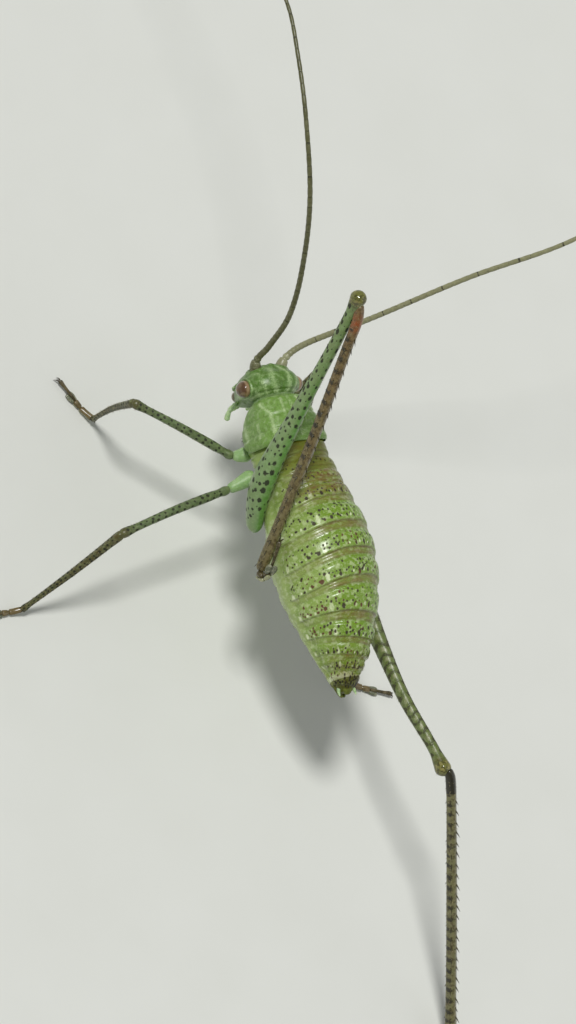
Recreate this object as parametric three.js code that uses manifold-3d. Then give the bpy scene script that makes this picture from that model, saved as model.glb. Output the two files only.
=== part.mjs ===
// A long horned grasshopper nymph, life size, standing with one hind leg raised over its back.
// Millimetres. +X is the animal's right, +Y its front, +Z up, and its feet stand on Z = 0.
import * as THREE from 'three';
import { mergeVertices } from 'three/addons/utils/BufferGeometryUtils.js';
import Module from 'manifold-3d';

const wasm = await Module();
wasm.setup();

// Driving dimensions.
const CUT = 0.05; // the thin cut between two parts of the body
const CLEAR = 0.06; // the space between parts that only lie near each other
const FLOOR = 0;
const FEELER_RADIUS = 0.25;
const BODY_SIDES = 24;
const HEAD_SIDES = 20;
const MOUTH_SIDES = 12;
const FEELER_SIDES = 8;
const LEG_SIDES = 8;
const HIND_FEMUR_SIDES = 10;

const THORAX_FRONT = 2.45;
const PRONOTUM_BACK = 0.8;
const MESOTHORAX_BACK = 0.05;
const METATHORAX_BACK = -0.5;
const TERGITE_BACKS = [-0.97, -1.8, -2.9, -3.9, -4.9, -6.05, -6.8, -7.3, -7.7, -8.3];

const HEAD_MIDDLE_Y = 3.05;
const EYE = { x: 1.06, y: 3.05, z: 5.7, across: 0.27, along: 0.3, tall: 0.34 };

// A smooth value along a line, through (place, value) pairs in rising order.
function track(pairs) {
  const slopes = pairs.map((_, i) => {
    const a = pairs[Math.max(i - 1, 0)];
    const b = pairs[Math.min(i + 1, pairs.length - 1)];
    return (b[1] - a[1]) / (b[0] - a[0]);
  });
  return (s) => {
    const last = pairs.length - 1;
    if (s <= pairs[0][0]) return pairs[0][1];
    if (s >= pairs[last][0]) return pairs[last][1];
    const i = pairs.findIndex((p) => p[0] > s) - 1;
    const h = pairs[i + 1][0] - pairs[i][0];
    const t = (s - pairs[i][0]) / h;
    const here = pairs[i][1] * (1 + 2 * t) * (1 - t) ** 2 + slopes[i] * h * t * (1 - t) ** 2;
    const next = pairs[i + 1][1] * t * t * (3 - 2 * t) - slopes[i + 1] * h * t * t * (1 - t);
    return here + next;
  };
}

// The trunk from the tip of the tail to the front of the pronotum, by Y.
const TRUNK_CENTRE = track([
  [-8.4, 5.9], [-7.4, 6.22], [-5.8, 6.42], [-3, 6.48], [-1.1, 6.28], [0.3, 6.05], [2.45, 5.85],
]);
const TRUNK_HALF_WIDTH = track([
  [-8.4, 0.3], [-8.05, 0.5], [-7.6, 0.77], [-7.1, 1.02], [-6.5, 1.27], [-5.8, 1.5], [-5.1, 1.72],
  [-4.2, 1.86], [-3, 1.88], [-1.9, 1.7], [-1.1, 1.5], [-0.3, 1.37], [0.4, 1.24], [1.2, 1.18],
  [2.45, 1.02],
]);
const TRUNK_ABOVE = track([
  [-8.4, 0.28], [-7.1, 0.98], [-5.8, 1.44], [-4.2, 1.78], [-3, 1.8], [-1.1, 1.45], [0.4, 1.12],
  [1.6, 1], [2.45, 0.86],
]);
const TRUNK_BELOW = track([
  [-8.4, 0.28], [-7.1, 1.05], [-5.8, 1.56], [-4.2, 1.92], [-3, 1.92], [-1.1, 1.5], [0.2, 1.45],
  [0.9, 1.66], [1.6, 1.62], [2.45, 1.26],
]);
const TRUNK_SQUARENESS = track([[-8.4, 2], [-2, 2], [0.2, 2.3], [1.2, 2.8], [2.45, 2.5]]);

// One point on a rounded outline: a circle at power 2, squarer above it.
function onOutline(angle, power) {
  const c = Math.cos(angle);
  const s = Math.sin(angle);
  return [Math.sign(c) * Math.abs(c) ** (2 / power), Math.sign(s) * Math.abs(s) ** (2 / power)];
}

function trunkRing(y, scale = 1, grow = 0) {
  return Array.from({ length: BODY_SIDES }, (_, i) => {
    const [c, s] = onOutline(((i + 0.5) / BODY_SIDES) * 2 * Math.PI, TRUNK_SQUARENESS(y));
    const x = c * (TRUNK_HALF_WIDTH(y) * scale + grow);
    const rise = s > 0 ? TRUNK_ABOVE(y) : TRUNK_BELOW(y);
    return new THREE.Vector3(x, y, TRUNK_CENTRE(y) + s * (rise * scale + grow));
  });
}

// A closed solid through rings of equal length, with a flat face at each end.
function solidThroughRings(rings) {
  const sides = rings[0].length;
  const points = rings.flat();
  const middles = [rings[0], rings[rings.length - 1]].map((ring) =>
    ring.reduce((sum, p) => sum.add(p), new THREE.Vector3()).divideScalar(sides),
  );
  const first = points.length;
  const indices = [];
  for (let k = 0; k < rings.length - 1; k += 1) {
    for (let i = 0; i < sides; i += 1) {
      const j = (i + 1) % sides;
      const [a, b, c, d] = [k * sides + i, k * sides + j, (k + 1) * sides + j, (k + 1) * sides + i];
      indices.push(a, b, c, a, c, d);
    }
  }
  const end = (rings.length - 1) * sides;
  for (let i = 0; i < sides; i += 1) {
    const j = (i + 1) % sides;
    indices.push(first, j, i, first + 1, end + i, end + j);
  }
  const geometry = new THREE.BufferGeometry().setFromPoints([...points, ...middles]);
  geometry.setIndex(indices);
  return facingOut(geometry);
}

function signedVolume(geometry) {
  const p = geometry.attributes.position;
  const index = geometry.index.array;
  const [a, b, c] = [new THREE.Vector3(), new THREE.Vector3(), new THREE.Vector3()];
  let six = 0;
  for (let i = 0; i < index.length; i += 3) {
    a.fromBufferAttribute(p, index[i]);
    b.fromBufferAttribute(p, index[i + 1]);
    c.fromBufferAttribute(p, index[i + 2]);
    six += a.dot(b.cross(c));
  }
  return six / 6;
}

function facingOut(geometry) {
  if (signedVolume(geometry) < 0) geometry.index.array.reverse();
  return geometry;
}

function toSolid(geometry) {
  const bare = geometry.clone();
  bare.deleteAttribute('normal');
  bare.deleteAttribute('uv');
  const merged = mergeVertices(bare, 1e-5);
  return new wasm.Manifold(
    new wasm.Mesh({
      numProp: 3,
      vertProperties: new Float32Array(merged.attributes.position.array),
      triVerts: new Uint32Array(merged.index.array),
    }),
  );
}

// The largest piece of a geometry that is left when the cutters are taken from it.
function carve(geometry, ...cutters) {
  const left = cutters.reduce((solid, cutter) => solid.subtract(toSolid(cutter)), toSolid(geometry));
  const pieces = left.simplify(0.006).decompose();
  pieces.sort((a, b) => b.volume() - a.volume());
  const mesh = pieces[0].getMesh();
  const carved = new THREE.BufferGeometry();
  carved.setAttribute('position', new THREE.BufferAttribute(mesh.vertProperties, 3));
  carved.setIndex(new THREE.BufferAttribute(mesh.triVerts, 1));
  return carved;
}

const CAP_STEPS = [0.3, 0.65]; // how far round a quarter turn each ring of a round end lies

const UP = [0, 0, 1];

const vector = (p) => new THREE.Vector3(...p);

// A limb swept along a smooth path, round at both ends. radii are (share of the path, half width
// in the plane of the limb's bend, half thickness across it), and across is square to that plane.
function limb({ path, radii, across = UP, sides = LEG_SIDES, steps = 6, grow = 0, floor = null }) {
  const curve = new THREE.CatmullRomCurve3(path.map(vector), false, 'centripetal');
  const wide = track(radii.map((r) => [r[0], r[1]]));
  const thick = track(radii.map((r) => [r[0], r[2] ?? r[1]]));
  const length = curve.getLength();
  const stations = [];
  const startCap = wide(0) / length;
  const endCap = wide(1) / length;
  const bend = (k) => [1 - Math.cos((k * Math.PI) / 2), Math.sin((k * Math.PI) / 2)];
  CAP_STEPS.forEach((k) => stations.push([startCap * bend(k)[0], bend(k)[1]]));
  for (let i = 0; i <= steps; i += 1) {
    stations.push([startCap + (1 - startCap - endCap) * (i / steps), 1]);
  }
  CAP_STEPS.toReversed().forEach((k) => stations.push([1 - endCap * bend(k)[0], bend(k)[1]]));
  const side = vector(across).normalize();
  const rings = stations.map(([s, share]) => {
    const centre = curve.getPointAt(s);
    const along = curve.getTangentAt(s);
    const out = new THREE.Vector3().crossVectors(side, along).normalize();
    const over = new THREE.Vector3().crossVectors(along, out).normalize();
    return Array.from({ length: sides }, (_, i) => {
      const angle = ((i + 0.5) / sides) * 2 * Math.PI;
      const point = centre
        .clone()
        .addScaledVector(out, Math.cos(angle) * (wide(s) * share + grow))
        .addScaledVector(over, Math.sin(angle) * (thick(s) * share + grow));
      if (floor !== null) point.z = Math.max(point.z, floor);
      return point;
    });
  });
  if (grow > 0) {
    const lead = curve.getTangentAt(0).multiplyScalar(-grow);
    const tail = curve.getTangentAt(1).multiplyScalar(grow);
    rings[0].forEach((p) => p.add(lead));
    rings[rings.length - 1].forEach((p) => p.add(tail));
  }
  return solidThroughRings(rings);
}

const COLOURS = {
  abdomen: ['#86a552', 0.42],
  thorax: ['#76893a', 0.45],
  pronotum: ['#8fae6b', 0.45],
  head: ['#83a45f', 0.45],
  eye: ['#6d4a38', 0.2],
  feeler: ['#57513a', 0.5],
  coxa: ['#a9c88f', 0.45],
  femur: ['#6f9460', 0.42],
  tibia: ['#6a4f37', 0.45],
  tarsus: ['#6b5236', 0.5],
  tail: ['#5d4527', 0.35],
};

const insect = new THREE.Group();

function add(name, geometry, finish) {
  const [color, roughness] = COLOURS[finish];
  geometry.computeVertexNormals();
  const material = new THREE.MeshStandardMaterial({ color, roughness, metalness: 0 });
  const mesh = new THREE.Mesh(geometry, material);
  mesh.name = name;
  insect.add(mesh);
  return mesh;
}

// One length of the trunk between two places along Y, with a swell between its ends.
function trunkPiece(back, front, steps, frontScale = 1, grow = 0) {
  const rings = [];
  for (let i = 0; i <= steps; i += 1) {
    const t = i / steps;
    const scale = 1 - (1 - frontScale) * t ** 3;
    rings.push(trunkRing(back + (front - back) * t, scale, grow));
  }
  return solidThroughRings(rings);
}

// Abdomen: ten tergites, each tucked a little under the one in front of it.
function makeAbdomen() {
  let front = METATHORAX_BACK;
  TERGITE_BACKS.forEach((back, i) => {
    const gap = i + 1 < TERGITE_BACKS.length ? CUT / 2 : 0;
    add(`abdomen_segment_${i + 1}`, trunkPiece(back + gap, front - CUT / 2, 2, 0.965), 'abdomen');
    front = back;
  });
}

const TAIL_END = TERGITE_BACKS[TERGITE_BACKS.length - 1];

// Places on the tail: out from the middle, back from the last tergite, and height.
const CERCUS = [[0.26, -0.25, 6], [0.42, 0.1, 6.02], [0.52, 0.42, 6.06]];
const OVIPOSITOR_BUD = [[0, -0.2, 5.72], [0, 0.08, 5.72], [0, 0.3, 5.8]];

function makeTail() {
  const last = trunkPiece(TAIL_END - CUT, METATHORAX_BACK, 8, 1, CUT);
  for (const [side, sign] of [['left', -1], ['right', 1]]) {
    const path = CERCUS.map(([out, back, z]) => [sign * out, TAIL_END - back, z]);
    const cercus = limb({ path, radii: [[0, 0.16], [0.6, 0.14], [1, 0.08]], steps: 3 });
    add(`cercus_${side}`, carve(cercus, last), 'tail');
  }
  const budPath = OVIPOSITOR_BUD.map(([out, back, z]) => [out, TAIL_END - back, z]);
  const bud = limb({ path: budPath, radii: [[0, 0.2], [1, 0.12]], steps: 3 });
  add('ovipositor_bud', carve(bud, last), 'tail');
}

function makeThorax() {
  add('pronotum', trunkPiece(PRONOTUM_BACK + CUT / 2, THORAX_FRONT, 4), 'pronotum');
  add('mesothorax', trunkPiece(MESOTHORAX_BACK + CUT / 2, PRONOTUM_BACK - CUT / 2, 2, 0.95), 'thorax');
  add('metathorax', trunkPiece(METATHORAX_BACK + CUT / 2, MESOTHORAX_BACK - CUT / 2, 2, 0.96), 'thorax');
}

// Head: level outlines from the mouth up to the crown.
const HEAD_HALF_WIDTH = track([
  [4.1, 0.48], [4.5, 0.66], [5, 0.88], [5.5, 1.04], [5.8, 1.06], [6.1, 0.98], [6.4, 0.76], [6.6, 0.4],
]);
const HEAD_FRONT = track([
  [4.1, 3.64], [4.6, 3.76], [5.2, 3.82], [5.7, 3.8], [6.1, 3.68], [6.4, 3.48], [6.6, 3.2],
]);
const HEAD_REAR = track([[4.1, 2.76], [4.6, 2.6], [5.2, 2.5], [6.1, 2.5], [6.4, 2.56], [6.6, 2.85]]);
const HEAD_LEVELS = [4.12, 4.5, 4.95, 5.4, 5.8, 6.15, 6.4, 6.55];

// Labrum and jaws, below the head.
const MOUTH_HALF_WIDTH = track([[3.5, 0.24], [3.75, 0.4], [4.1, 0.46]]);
const MOUTH_FRONT = track([[3.5, 3.42], [3.75, 3.56], [4.1, 3.62]]);
const MOUTH_REAR = track([[3.5, 3.06], [3.75, 2.9], [4.1, 2.8]]);
const MOUTH_LEVELS = [3.5, 3.6, 3.8, HEAD_LEVELS[0] - CUT];

function levelShell(levels, halfWidth, front, rear, sides) {
  const rings = levels.map((z) =>
    Array.from({ length: sides }, (_, i) => {
      const [c, s] = onOutline(((i + 0.5) / sides) * 2 * Math.PI, 2.2);
      const reach = s > 0 ? front(z) - HEAD_MIDDLE_Y : HEAD_MIDDLE_Y - rear(z);
      return new THREE.Vector3(c * halfWidth(z), HEAD_MIDDLE_Y + s * reach, z);
    }),
  );
  return solidThroughRings(rings);
}

const headShell = () => levelShell(HEAD_LEVELS, HEAD_HALF_WIDTH, HEAD_FRONT, HEAD_REAR, HEAD_SIDES);
const mouthShell = () => levelShell(MOUTH_LEVELS, MOUTH_HALF_WIDTH, MOUTH_FRONT, MOUTH_REAR, MOUTH_SIDES);

function eyeBall(sign, grow = 0) {
  const ball = new THREE.SphereGeometry(1, 12, 8);
  ball.scale(EYE.across + grow, EYE.along + grow, EYE.tall + grow);
  ball.rotateY(sign * 0.12);
  ball.translate(sign * EYE.x, EYE.y, EYE.z);
  return ball;
}

// Antennae: a stout base of two joints, then a long thin whip in three lengths.
const ANTENNAE = {
  left: {
    base: [[-0.46, 3.5, 5.72], [-0.5, 3.95, 6.05], [-0.3, 4.25, 6.7]],
    whip: [
      [-0.3, 4.25, 6.7], [-0.05, 4.95, 8.05], [-0.1, 6.2, 9.62], [-0.5, 8.16, 11.73],
      [-0.62, 10.8, 12.85], [-0.5, 13, 13.1], [-0.4, 15, 13.05], [-0.7, 19, 12.2],
      [-1.5, 23.5, 10.4], [-2.6, 27, 8.2],
    ],
  },
  right: {
    base: [[0.46, 3.5, 5.72], [0.74, 3.95, 6], [1.2, 4.22, 6.4]],
    whip: [
      [1.2, 4.22, 6.4], [1.98, 4.36, 7.26], [3, 4.47, 8.4], [5.6, 4.9, 11.3], [8.34, 5.17, 14.27],
      [12.2, 6.6, 17.4], [16, 9, 19.2], [19.3, 12.4, 19.8],
    ],
  },
};
const PALP = [[0.42, 2.94, 4.18], [0.62, 2.84, 4.02], [0.73, 2.68, 3.87], [0.75, 2.47, 3.68]];
const PALP_RADII = [[0, 0.16], [0.5, 0.17], [0.9, 0.18], [1, 0.16]];
const WHIP_STEPS = 5;
const WHIP_PARTS = ['lower', 'middle', 'upper'];

function antennaBase(side, grow = 0) {
  const radii = [[0, 0.25], [0.45, 0.27], [0.7, 0.25], [1, 0.25]];
  return limb({ path: ANTENNAE[side].base, radii, steps: 4, grow });
}

function makeAntenna(side) {
  add(`antenna_${side}_base`, carve(antennaBase(side), headShell()), 'feeler');
  const curve = new THREE.CatmullRomCurve3(ANTENNAE[side].whip.map(vector), false, 'centripetal');
  const length = curve.getLength();
  WHIP_PARTS.forEach((part, k) => {
    const from = (k / 3) * length + (k === 0 ? 0 : CUT / 2);
    const to = ((k + 1) / 3) * length - (k === 2 ? 0 : CUT / 2);
    const rings = [];
    for (let i = 0; i <= WHIP_STEPS; i += 1) {
      const s = (from + ((to - from) * i) / WHIP_STEPS) / length;
      const centre = curve.getPointAt(s);
      const along = curve.getTangentAt(s);
      const out = new THREE.Vector3(1, 0, 0).addScaledVector(along, -along.x).normalize();
      const over = new THREE.Vector3().crossVectors(along, out);
      rings.push(
        Array.from({ length: FEELER_SIDES }, (_, j) => {
          const angle = (j / FEELER_SIDES) * 2 * Math.PI;
          return centre
            .clone()
            .addScaledVector(out, Math.cos(angle) * FEELER_RADIUS)
            .addScaledVector(over, Math.sin(angle) * FEELER_RADIUS);
        }),
      );
    }
    const whip = solidThroughRings(rings);
    add(`antenna_${side}_${part}`, k === 0 ? carve(whip, antennaBase(side, CUT)) : whip, 'feeler');
  });
}

function makeHead() {
  const bases = ['left', 'right'].map((side) => antennaBase(side, CUT));
  const sockets = [-1, 1].map((sign) => eyeBall(sign, CUT / 2));
  add('head_capsule', carve(headShell(), ...sockets, ...bases), 'head');
  add('mouthparts', mouthShell(), 'tail');
  for (const [side, sign] of [['left', -1], ['right', 1]]) {
    add(`eye_${side}`, eyeBall(sign), 'eye');
    const path = PALP.map(([x, y, z]) => [sign * x, y, z]);
    const palp = limb({ path, radii: PALP_RADII, steps: 4 });
    add(`maxillary_palp_${side}`, carve(palp, headShell(), mouthShell()), 'coxa');
    makeAntenna(side);
  }
}

// Legs, by the joints of each one. The hind left leg is raised over the back with its shin folded
// down beside the abdomen; the other five stand on the floor.
const LEGS = {
  fore_left: {
    coxa: [[-0.74, 0.96, 4.76], [-1.09, 0.96, 4.55], [-1.38, 1, 4.42]],
    femur: [[-1.38, 1, 4.42], [-3.1, 2.2, 4.38], [-4.7, 3.35, 4.15]],
    tibia: [[-4.7, 3.35, 4.15], [-4.34, 3.7, 2.22], [-4.02, 3.85, 0.42]],
    tarsus: [[-4.02, 3.85, 0.36], [-4.3, 4.3, 0.2], [-4.62, 4.85, 0.19], [-4.95, 5.4, 0.24]],
  },
  fore_right: {
    coxa: [[0.74, 0.96, 4.76], [1.09, 0.96, 4.55], [1.38, 1, 4.42]],
    femur: [[1.38, 1, 4.42], [2.45, 2.46, 3.95], [3.68, 3.92, 3.35]],
    tibia: [[3.68, 3.92, 3.35], [2.85, 3.22, 1.9], [2.05, 2.5, 0.42]],
    tarsus: [[2.05, 2.5, 0.36], [2.45, 2.8, 0.2], [3, 3.25, 0.19], [3.4, 3.65, 0.24]],
  },
  middle_left: {
    coxa: [[-0.95, 0.1, 4.98], [-1.55, -0.11, 4.84], [-2.06, -0.27, 4.72]],
    femur: [[-2.06, -0.27, 4.72], [-4.28, -0.75, 4.6], [-6.5, -1.33, 4.23]],
    tibia: [[-6.5, -1.33, 4.23], [-7.65, -2.08, 2.29], [-8.72, -2.73, 0.42]],
    tarsus: [[-8.72, -2.73, 0.36], [-9.1, -2.75, 0.2], [-9.7, -2.77, 0.19], [-10.3, -2.79, 0.24]],
  },
  middle_right: {
    coxa: [[0.9, 0.15, 4.9], [1.5, -0.1, 4.65], [2, -0.45, 4.6]],
    femur: [[2, -0.45, 4.6], [2.45, -2.6, 4.62], [2.8, -4.75, 4.4]],
    tibia: [[2.8, -4.75, 4.4], [3.48, -5.8, 2.35], [4.05, -6.75, 0.42]],
    tarsus: [[4.05, -6.75, 0.36], [4.5, -6.9, 0.2], [5.1, -7.1, 0.19], [5.7, -7.28, 0.24]],
  },
  hind_left: {
    coxa: [[-0.85, -0.85, 5.1], [-1.3, -1.15, 5], [-1.62, -1.5, 5.2]],
    femur: [
      [-1.7, -1.95, 5.15], [-1.84, -0.72, 6.5], [-1.4, 0.95, 8.75], [-0.76, 2.93, 11.5], [-0.38, 4.27, 13.38],
    ],
    tibia: [
      [-0.39, 3.93, 13.11], [-0.42, 3.4, 12.75], [-0.58, 2.74, 12.09], [-1.14, 0.62, 10.12],
      [-1.66, -1.08, 8.55], [-2.44, -3.65, 6.11],
    ],
    tarsus: [
      [-2.5, -3.66, 6.1], [-2.5, -3.86, 6.32], [-2.42, -3.83, 6.62],
      [-2.33, -3.5, 6.98], [-2.13, -2.91, 7.34],
    ],
  },
  hind_right: {
    coxa: [[0.85, -0.85, 5.1], [1.25, -1.2, 4.9], [1.45, -1.6, 4.9]],
    femur: [
      [1.52, -1.75, 4.95], [1.72, -4, 5.45], [1.83, -6.9, 6.1], [2, -8.9, 6.5], [2.35, -10.84, 6.99],
      [2.52, -11.93, 7.15],
    ],
    tibia: [
      [2.6, -11.8, 7.28], [2.72, -12.15, 7.06], [2.95, -13.1, 6.28], [3.85, -16.9, 3.1], [4.62, -20.04, 0.45],
    ],
    tarsus: [[4.62, -20.04, 0.38], [4.62, -20.5, 0.2], [4.58, -21.1, 0.19], [4.52, -21.65, 0.24]],
  },
};

// Half widths and half thicknesses along each kind of leg part.
const LEG_SHAPES = {
  coxa: [[0, 0.33], [0.5, 0.28], [1, 0.25]],
  femur: [[0, 0.26], [0.3, 0.27], [0.8, 0.25], [0.94, 0.3], [1, 0.28]],
  tibia: [[0, 0.25], [0.12, 0.27], [0.5, 0.25], [1, 0.25]],
  tarsus: [[0, 0.22], [0.35, 0.27], [0.7, 0.25], [1, 0.2]],
  hind_femur: [
    [0, 0.42, 0.28], [0.1, 0.58, 0.38], [0.2, 0.64, 0.4], [0.35, 0.5, 0.35], [0.55, 0.32, 0.28],
    [0.8, 0.23, 0.25], [0.93, 0.24, 0.26], [0.97, 0.31, 0.29], [1, 0.3, 0.28],
  ],
  hind_tibia: [[0, 0.22], [0.1, 0.24], [0.5, 0.25], [1, 0.25]],
};

function legPlane(leg) {
  const base = vector(leg.femur[0]);
  const knee = vector(leg.femur[leg.femur.length - 1]);
  const ankle = vector(leg.tibia[leg.tibia.length - 1]);
  const middle = vector(leg.femur[1]);
  const thigh = knee.clone().sub(base);
  const shin = ankle.sub(knee);
  const normal = thigh.clone().cross(shin);
  return normal.length() > 1 ? normal.normalize().toArray() : thigh.cross(middle).normalize().toArray();
}

function makeLeg(name, trunk) {
  const leg = LEGS[name];
  const hind = name.startsWith('hind');
  const raised = name === 'hind_left';
  const across = legPlane(leg);
  const shape = (part) => LEG_SHAPES[hind && LEG_SHAPES[`hind_${part}`] ? `hind_${part}` : part];
  const made = (part, options = {}) => limb({ path: leg[part], radii: shape(part), across, ...options });
  const thigh = hind ? { steps: 11, sides: HIND_FEMUR_SIDES } : { steps: 6 };
  const femur = carve(made('femur', thigh), trunk);
  const femurSpace = made('femur', { ...thigh, grow: CUT });
  const tibiaSpace = made('tibia', { grow: CUT });
  add(`coxa_${name}`, carve(made('coxa', { steps: 2 }), trunk, femurSpace), 'coxa');
  add(`femur_${name}`, femur, 'femur');
  add(`tibia_${name}`, carve(made('tibia', { steps: 7 }), femurSpace), 'tibia');
  const sole = raised ? {} : { across: UP, floor: FLOOR };
  const tarsus = made('tarsus', { steps: 7, ...sole });
  add(`tarsus_${name}`, carve(tarsus, tibiaSpace), 'tarsus');
}

const trunkSpace = trunkPiece(TAIL_END, THORAX_FRONT, 24, 1, CLEAR);
makeHead();
makeThorax();
makeAbdomen();
makeTail();
Object.keys(LEGS).forEach((name) => makeLeg(name, trunkSpace));

// The origin is the middle of the whole animal's box, at the level of its soles.
insect.updateMatrixWorld(true);
const box = new THREE.Box3().setFromObject(insect);
insect.position.set(-(box.min.x + box.max.x) / 2, -(box.min.y + box.max.y) / 2, -box.min.z);

export default insect;
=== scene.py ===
"""Looks of a long horned grasshopper nymph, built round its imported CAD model.

Lengths are millimetres in the animal's own axes: +X is its right, +Y its front and +Z up, and the
floor is at 0. They are turned into the frame's metres only when a mesh is made.
"""

import math

import bpy
import numpy as np
from mathutils import Matrix, Vector


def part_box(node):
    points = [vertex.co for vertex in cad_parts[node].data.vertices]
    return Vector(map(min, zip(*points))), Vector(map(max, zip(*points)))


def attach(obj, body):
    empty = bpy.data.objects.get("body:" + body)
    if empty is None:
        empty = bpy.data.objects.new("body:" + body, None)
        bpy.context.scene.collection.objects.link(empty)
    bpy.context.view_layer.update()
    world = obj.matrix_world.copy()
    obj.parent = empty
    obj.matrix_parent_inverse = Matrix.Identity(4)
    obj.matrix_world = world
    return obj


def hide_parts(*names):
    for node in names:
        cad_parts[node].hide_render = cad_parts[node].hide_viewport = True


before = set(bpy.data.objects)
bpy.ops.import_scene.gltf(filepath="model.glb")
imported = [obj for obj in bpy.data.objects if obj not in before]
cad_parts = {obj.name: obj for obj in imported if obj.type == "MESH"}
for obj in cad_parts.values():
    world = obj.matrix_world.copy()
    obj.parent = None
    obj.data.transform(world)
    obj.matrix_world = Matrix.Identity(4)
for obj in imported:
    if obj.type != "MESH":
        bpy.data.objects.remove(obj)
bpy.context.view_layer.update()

MM = 0.001
# The box of the pronotum says how far the animal's own axes are shifted in the frame.
THORAX_FRONT = 2.45
PRONOTUM_LOW, PRONOTUM_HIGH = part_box("pronotum")
MIDLINE_X = (PRONOTUM_LOW.x + PRONOTUM_HIGH.x) / 2 / MM
SHIFT = np.array([MIDLINE_X, PRONOTUM_HIGH.y / MM - THORAX_FRONT, 0])

rng = np.random.default_rng(7)

# ---- smooth lines ----


def track(pairs):
    """A smooth value along a line, through (place, value) pairs in rising order."""
    places, values = np.array(pairs, float).T
    last = len(places) - 1
    before = np.maximum(np.arange(last + 1) - 1, 0)
    after = np.minimum(np.arange(last + 1) + 1, last)
    slopes = (values[after] - values[before]) / (places[after] - places[before])

    def at(s):
        s = np.clip(s, places[0], places[-1])
        i = np.clip(np.searchsorted(places, s, side="right") - 1, 0, last - 1)
        h = places[i + 1] - places[i]
        t = (s - places[i]) / h
        here = values[i] * (1 + 2 * t) * (1 - t) ** 2 + slopes[i] * h * t * (1 - t) ** 2
        return here + values[i + 1] * t * t * (3 - 2 * t) - slopes[i + 1] * h * t * t * (1 - t)

    return at


def smooth(low, high, value):
    t = np.clip((value - low) / (high - low), 0, 1)
    return t * t * (3 - 2 * t)


def hump(middle, reach, value):
    """A smooth bump of height 1 that fades within reach of its middle."""
    return np.exp(-(((value - middle) / reach) ** 2))


def dome(value):
    """The height of a half circle of radius 1 at a place from -1 to 1."""
    return np.sqrt(np.clip(1 - value**2, 0, 1))


def unit(v):
    return v / np.maximum(np.linalg.norm(v, axis=-1, keepdims=True), 1e-9)


def run_along(points):
    """How far along the line through them each point lies."""
    return np.r_[0, np.cumsum(np.linalg.norm(np.diff(points, axis=0), axis=1))]


PATH_POINTS = 400
PATH_STEP = 0.004  # the share of a path to each side over which its direction is read


class Path:
    """A smooth line through points, read by its share of the whole length.

    It can overrun its end points by a short way, straight on.
    """

    def __init__(self, points, overrun=0.0):
        points = np.array(points, float)
        points[0] -= overrun * unit(points[1] - points[0])
        points[-1] += overrun * unit(points[-1] - points[-2])
        chord = run_along(points)
        fine = np.linspace(0, chord[-1], PATH_POINTS)
        self.points = np.stack([track(list(zip(chord, column)))(fine) for column in points.T], 1)
        run = run_along(self.points)
        self.length = run[-1]
        self.shares = run / run[-1]

    def at(self, share):
        return np.stack([np.interp(share, self.shares, column) for column in self.points.T], -1)

    def along(self, share):
        share = np.clip(share, PATH_STEP, 1 - PATH_STEP)
        return unit(self.at(share + PATH_STEP) - self.at(share - PATH_STEP))

    def axes(self, share, side):
        """The way along it, and two ways square to that, of which the second is nearest to side."""
        along = self.along(share)
        out = unit(np.cross(side, along))
        return along, out, np.cross(along, out)


# ---- grids of points and meshes ----

MARKS = ("dark", "pale", "band", "line", "tone")
UNWRAP_GAP = 0.003


def grid(x, y, z):
    """Grid points from coordinates that may leave out its rows or its columns."""
    return np.stack(np.broadcast_arrays(x, y, z), -1)


class Patch:
    """A grid of points in rows along a part and columns round it, with its finish and markings.

    The finish is one name, or a name for each row. Where it has tips, each end closes in a point.
    """

    def __init__(self, points, finish, tips=True, **marks):
        shape = points.shape[:2]
        self.points = points
        self.finishes = np.broadcast_to(np.array(finish, dtype=object), shape[:1])
        self.tip_rows = (0, -1) if tips else ()
        self.marks = {k: np.broadcast_to(marks.get(k, 0.0), shape) for k in MARKS}
        self.reversed = self.volume() < 0
        if self.reversed:
            self.points = points[:, ::-1]
            self.marks = {k: v[:, ::-1] for k, v in self.marks.items()}
        steps = np.linalg.norm(np.diff(self.points, axis=0), axis=2).mean(1).sum()
        ring = self.points - np.roll(self.points, 1, axis=1)
        girth = np.linalg.norm(ring, axis=2).sum(1).max()
        self.turned = steps > girth
        self.long, self.short = max(steps, girth), min(steps, girth)

    def volume(self):
        """Six times the volume inside, which is negative where the columns run the wrong way."""
        a = self.points - self.points.mean((0, 1))
        b = np.roll(a, -1, axis=1)
        return (a[:-1] * (np.cross(b[:-1], b[1:]) + np.cross(b[1:], a[1:]))).sum()

    def uv(self, rows, columns):
        """Places on the unwrap, for row and column numbers that may lie between grid points."""
        x, y, scale = self.corner
        n, m = self.points.shape[:2]
        down, across = (rows + 1) / (n + 1), columns / m
        if self.turned:
            down, across = across, down
        return np.stack([x + self.long * scale * across, y + self.short * scale * down], -1)

    def faces(self, first):
        """Each face's vertex numbers, and the rows and columns of its corners."""
        n, m = self.points.shape[:2]
        i, j = (v.reshape(-1, 1) for v in np.meshgrid(range(n - 1), range(m), indexing="ij"))
        rows = np.hstack([i, i, i + 1, i + 1])
        columns = np.hstack([j, j + 1, j + 1, j])
        made = [(first + rows * m + columns % m, rows, columns)]
        k = np.arange(m)[:, None]
        for tip in self.tip_rows:
            row, beyond, sides = (n - 1, n, [k, k + 1]) if tip else (0, -1, [k + 1, k])
            ring = [first + row * m + side % m for side in sides]
            pole = np.full_like(k, first + n * m - tip)
            rows = np.tile([row, row, beyond], (m, 1))
            made.append((np.hstack([*ring, pole]), rows, np.hstack([*sides, k + 0.5])))
        return made


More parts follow.
